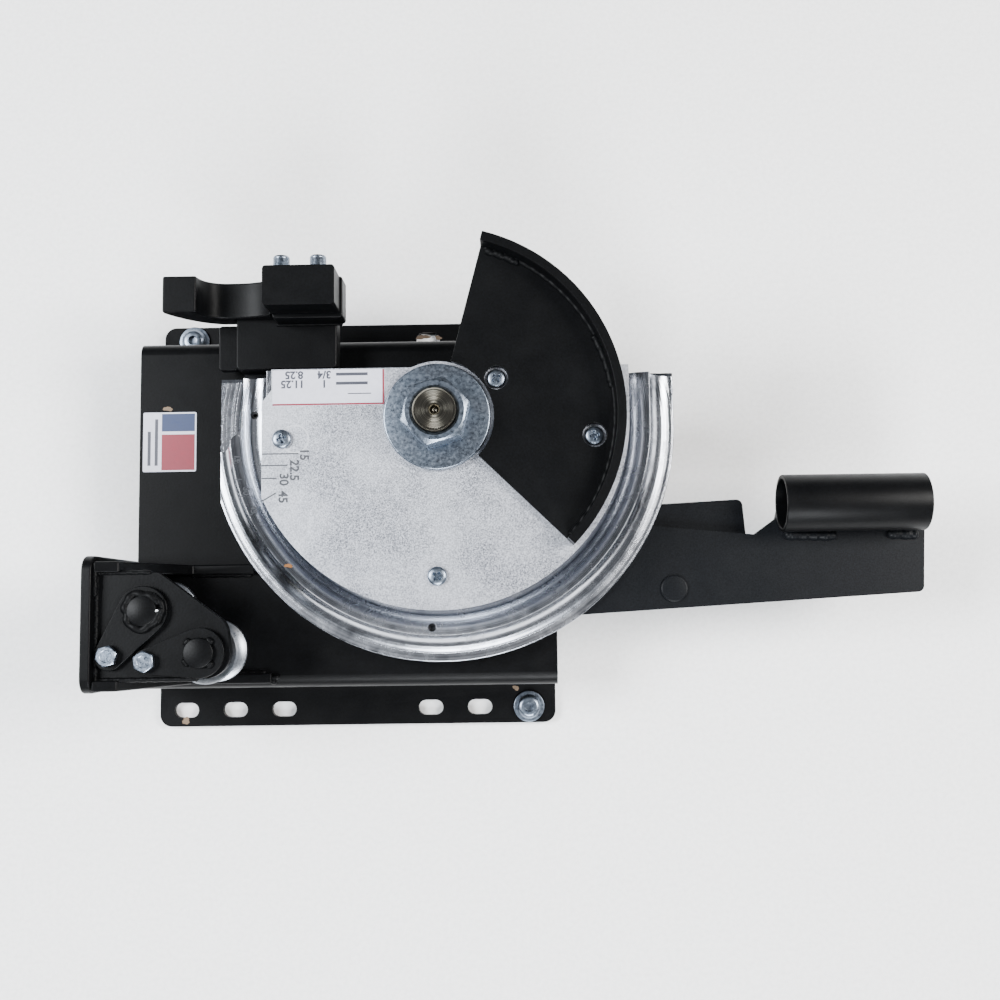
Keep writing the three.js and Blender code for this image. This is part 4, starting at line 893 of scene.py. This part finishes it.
def make_welds():
    left = -198.0
    plate = level("carrier_top_plate", 1)
    base = "base"
    bead("weld_end_plate", [(left, -91, plate), (left, -154, plate)], 1.8, base)
    bead("weld_end_plate_rear", [(left, -84, plate + 3.5), (left, -104, plate + 2.5)], 1.6, base)
    bead("weld_rear_gusset", [(left, -90.0, plate), (-166, -90.0, plate)], 1.3, base)
    bead("weld_front_gusset", [(left, -151.8, plate), (-138, -151.8, plate)], 1.3, base)
    bead("weld_rear_bar", [(-160, -90.2, DECK), (-121, -90.2, DECK)], 1.5, base)
    bead("weld_front_bar", [(-156, -151.6, DECK), (-112, -151.6, DECK)], 1.5, base)
    bead("weld_bar_end", around((-106, -156), 1.4, 0, 300, DECK + 1.2), 2.0, base)
    bead("weld_pin_ring", around(LARGE_PIN, 10.0, 20, 372, KEEPER_TOP + 0.2, 0.7), 2.3, base, ripple=6)
    bead("weld_pin_lap", around(LARGE_PIN, 11.3, -40, 60, KEEPER_TOP + 0.2, 0.4), 1.7, base, ripple=5)
    for i, turn in enumerate((-46, 47, 137, 215)):
        path = around(SMALL_PIN, 9.3, turn - 15, turn + 15, KEEPER_TOP + 0.2)
        bead(f"tack_{i + 1}", path, 1.9, base, ripple=9)
    swing = "die_and_lever"
    bead("weld_socket_1", [(213, -70.2, 66.4), (246, -71.2, 66.4)], 3.0, swing, COAT_LEVER, 3.1)
    bead("weld_socket_2", [(277, -70.2, 66.4), (297, -71.2, 66.4)], 3.0, swing, COAT_LEVER, 3.1)
    floor = level("sector_guard", 0) + GUARD_PLATE
    inner = GUARD_RADIUS - GUARD_RIM
    # the bead round the guard's inner foot is partly a real fillet weld and partly a dark band of painted
    # shade under the rim
    bead("weld_guard_root_and_painted_shade", around((0, 0), inner, -43, 74, floor, 0.2), 1.8, swing, ripple=9)
    bead("weld_guard_1", around((0, 0), inner - 1.2, 61, 73.5, floor, 0.5), 2.4, swing, ripple=3.4)
    bead("weld_guard_2", around((0, 0), inner - 1.2, 8, 27, floor, 0.5), 2.4, swing, ripple=3.4)
    low_top = level("hook_base", 1)
    bead("weld_hook_base", [(-102, 64.8, low_top), (-60, 64.8, low_top)], 1.2, swing)
    bead("weld_hook_saddle", [(-103, 70, 95), (-103, 88, 95)], 1.2, swing)


# ------------------------------------------------------------------ labels, scale marks and blemishes

def printed(name, outline, low, thickness, finish, body):
    """A thin closed prism of ink, fill or film."""
    made = slab_object(name, outline, low, low + thickness)
    return keep(made, finish, body)


def stroke(first, last, width):
    """Outline of a straight line of a given width."""
    a, b = np.array(first, float), np.array(last, float)
    along = (b - a) / np.linalg.norm(b - a)
    side = np.array([-along[1], along[0]]) * width / 2
    return [tuple(a - side), tuple(b - side), tuple(b + side), tuple(a + side)]


def bar(x0, x1, y0, y1):
    return [(x0, y0), (x1, y0), (x1, y1), (x0, y1)]


def numeral(name, text, centre, height, size, turn, finish, body, weight=0.2):
    """Figures centred on a point, made a mesh and then moved to their place."""
    curve = bpy.data.curves.new(name, "FONT")
    curve.body = text
    curve.size = size
    curve.extrude = 0.02
    curve.offset = weight
    curve.align_x = "CENTER"
    curve.align_y = "CENTER"
    holder = bpy.data.objects.new(f"{name}_text", curve)
    bpy.context.collection.objects.link(holder)
    graph = bpy.context.evaluated_depsgraph_get()
    mesh = bpy.data.meshes.new_from_object(holder.evaluated_get(graph))
    bpy.data.objects.remove(holder)
    spots = np.empty(3 * len(mesh.vertices))
    mesh.vertices.foreach_get("co", spots)
    spots = spots.reshape(-1, 3)
    c, s = math.cos(math.radians(turn)), math.sin(math.radians(turn))
    moved = np.stack([centre[0] + c * spots[:, 0] - s * spots[:, 1],
                      centre[1] + s * spots[:, 0] + c * spots[:, 1], height + spots[:, 2]], 1)
    mesh.vertices.foreach_set("co", place(moved).ravel())
    made = bpy.data.objects.new(name, mesh)
    bpy.context.collection.objects.link(made)
    return keep(made, finish, body)


def flat_ring(name, centre, inner, outer, low, thickness, finish, body):
    """A thin flat ring: a square section turned about an upright axis."""
    high = low + thickness
    profile = [(inner, low), (outer, low), (outer, high), (inner, high)]
    made = raw_object(name, turned(profile, centre), grid_faces(4, 96, True, True))
    return keep(made, finish, body)


def make_scale():
    swing = "die_and_lever"
    flat_ring("spot_face_ring", (-84.8, -11.8), 7.7, 8.6, PLATE_TOP, 0.04, PALE_ENGRAVING, swing)
    ticks = {
        "15": ((-104.5, -20.5), (-82.5, -20.5), (-79.3, -21.0), "15"),
        "22": ((-104.5, -27.4), (-89.1, -27.4), (-85.2, -30.4), "22.5"),
        "30": ((-104.5, -35.1), (-95.5, -35.1), (-91.4, -35.8), "30"),
        "45": ((-103.7, -48.4), (-95.9, -43.8), (-91.9, -46.3), "45"),
    }
    for key, (first, last, spot, text) in ticks.items():
        printed(f"scale_tick_{key}", stroke(first, last, 0.75), PLATE_TOP, 0.05, ENGRAVING, swing)
        numeral(f"scale_number_{key}", text, spot, PLATE_TOP + INK_DEPTH, 7.4, -90, ENGRAVING, swing)
    low_ticks = {
        "15": ((-127.4, -22.2), (-123.2, -22.2)),
        "22": ((-126.0, -32.7), (-121.4, -32.7)),
        "30": ((-124.0, -43.2), (-119.0, -43.2)),
        "45": ((-117.5, -55.5), (-113.5, -53.3)),
    }
    for key, (first, last) in low_ticks.items():
        printed(f"ledge_tick_{key}", stroke(first, last, 0.5), LEDGE, 0.05, ENGRAVING, swing)
    for text, spot in (("15", (-124.6, -20.0)), ("30", (-119.0, -40.0)), ("45", (-114.2, -51.4))):
        numeral(f"ledge_number_{text}", text, spot, LEDGE + INK_DEPTH, 5.0, -90, ENGRAVING, swing)


def make_labels():
    """Two generic labels: figures and plain bars on the plate, plain bands on the deck."""
    swing = "die_and_lever"
    refined("scale_label", 0.1, VINYL, 1)
    low, high = ((np.array(corner) - PIVOT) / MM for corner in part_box("scale_label"))
    top = high[2]
    x0, x1, y0, y1 = low[0], high[0], low[1], high[1]
    printed("scale_label_border_side", bar(x1 - 1.3, x1 - 0.2, y0 + 0.2, y1 - 0.2), top, INK_DEPTH,
            RED_INK, swing)
    printed("scale_label_border_front", bar(x0 + 0.2, x1 - 0.2, y0 + 0.2, y0 + 1.2), top + 0.04, INK_DEPTH,
            RED_INK, swing)
    rows = ((y0 + 13.2, "11.25", 0.9), (y0 + 18.7, "8.25", 0.0))
    for i, (y, text, shift) in enumerate(rows):
        printed(f"scale_label_words_{i + 1}", bar(x1 - 29, x1 - 10, y - 0.9, y + 0.9), top, INK_DEPTH,
                GREY_INK, swing)
        numeral(f"scale_label_figure_{i + 1}", text, (x0 + 13 - shift, y), top + INK_DEPTH, 6.4, 180,
                GREY_INK, swing)
        numeral(f"scale_label_size_{i + 1}", ("1", "3/4")[i], (x1 - 36, y), top + INK_DEPTH, 6.4, 180,
                GREY_INK, swing)
    printed("scale_label_rule", bar(x1 - 22, x1 - 8, y0 + 6.6, y0 + 7.2), top, INK_DEPTH,
            GREY_INK, swing)
    refined("deck_label", 0.1, VINYL, 1)
    low, high = ((np.array(corner) - PIVOT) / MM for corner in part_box("deck_label"))
    top = high[2]
    x0, x1, y0, y1 = low[0], high[0], low[1], high[1]
    printed("deck_label_red_field", bar(x0 + 12, x1 - 1, y0 + 1, y0 + 24), top, INK_DEPTH,
            RED_INK, "base")
    printed("deck_label_blue_field", bar(x0 + 12, x1 - 1, y0 + 26, y1 - 1), top, INK_DEPTH,
            BLUE_INK, "base")
    for i, length in enumerate((22, 30)):
        x = x0 + 3 + 4.6 * i
        printed(f"deck_label_words_{i + 1}", bar(x, x + 2, y0 + 4, y0 + 4 + length), top, INK_DEPTH,
                GREY_INK, "base")


def blot(x, y, radius, stretch=1.0, seed=1):
    """An uneven outline: a circle whose radius wanders by three harmonics."""
    angle = np.arange(40) * 2 * np.pi / 40
    r = radius * (1 + 0.22 * np.sin(2 * angle + seed) + 0.13 * np.sin(3 * angle + 2 * seed)
                  + 0.07 * np.sin(7 * angle + seed))
    return np.stack([x + stretch * r * np.cos(angle), y + r * np.sin(angle)], 1).tolist()


def make_blemishes():
    flange = 4.76
    marks = {
        "residue_deck_left": (blot(-176.2, 16.9, 1.6, 1.6, 2), DECK, RESIDUE, "base"),
        "residue_deck_rear_1": (blot(-12, 61.2, 1.5, 2.6, 1), DECK, RESIDUE, "base"),
        "residue_deck_rear_2": (blot(-2, 60.6, 1.2, 2.0, 4), DECK, RESIDUE, "base"),
        "residue_flange_1": (blot(44.7, -166.6, 1.6, 1.2, 3), flange, RESIDUE, "base"),
        "residue_flange_2": (blot(-176.7, -185.6, 2.0, 1.4, 5), flange, RESIDUE, "base"),
    }
    for name, (outline, low, finish, body) in marks.items():
        printed(name, outline, low + 0.01, 0.05, finish, body)
    # a near-white dot on top of a weld bead: a bare spot, its brightness a painted glint
    printed("bare_weld_dot_and_painted_glint", blot(-161.0, -112.2, 0.7, 1, 1), KEEPER_TOP + 2.7, 0.05,
            BARE_SPOT_AND_GLINT, "base")
    printed("rust_spot", blot(-92.7, -86.0, 1.3, 1.6, 2), LEDGE, 0.04, RUST, "die_and_lever")


# ------------------------------------------------------------------ the whole

def make_floor():
    mesh = bpy.data.meshes.new("floor")
    half = 6.0
    drop = -0.0003
    corners = [(-half, -half, drop), (half, -half, drop), (half, half, drop), (-half, half, drop)]
    mesh.from_pydata(corners, [], [(0, 1, 2, 3)])
    mesh.materials.append(FLOOR)
    floor = bpy.data.objects.new("floor", mesh)
    bpy.context.collection.objects.link(floor)


make_camera()
make_light()
make_floor()
make_sheet_and_blocks()
make_die()
make_stud()
make_washers()
make_nut()
make_keeper_bolts()
make_plate_screws()
make_bench_screws()
make_hook_screws()
make_rollers()
make_pins()
make_handle_socket()
make_welds()
make_scale()
make_labels()
make_blemishes()
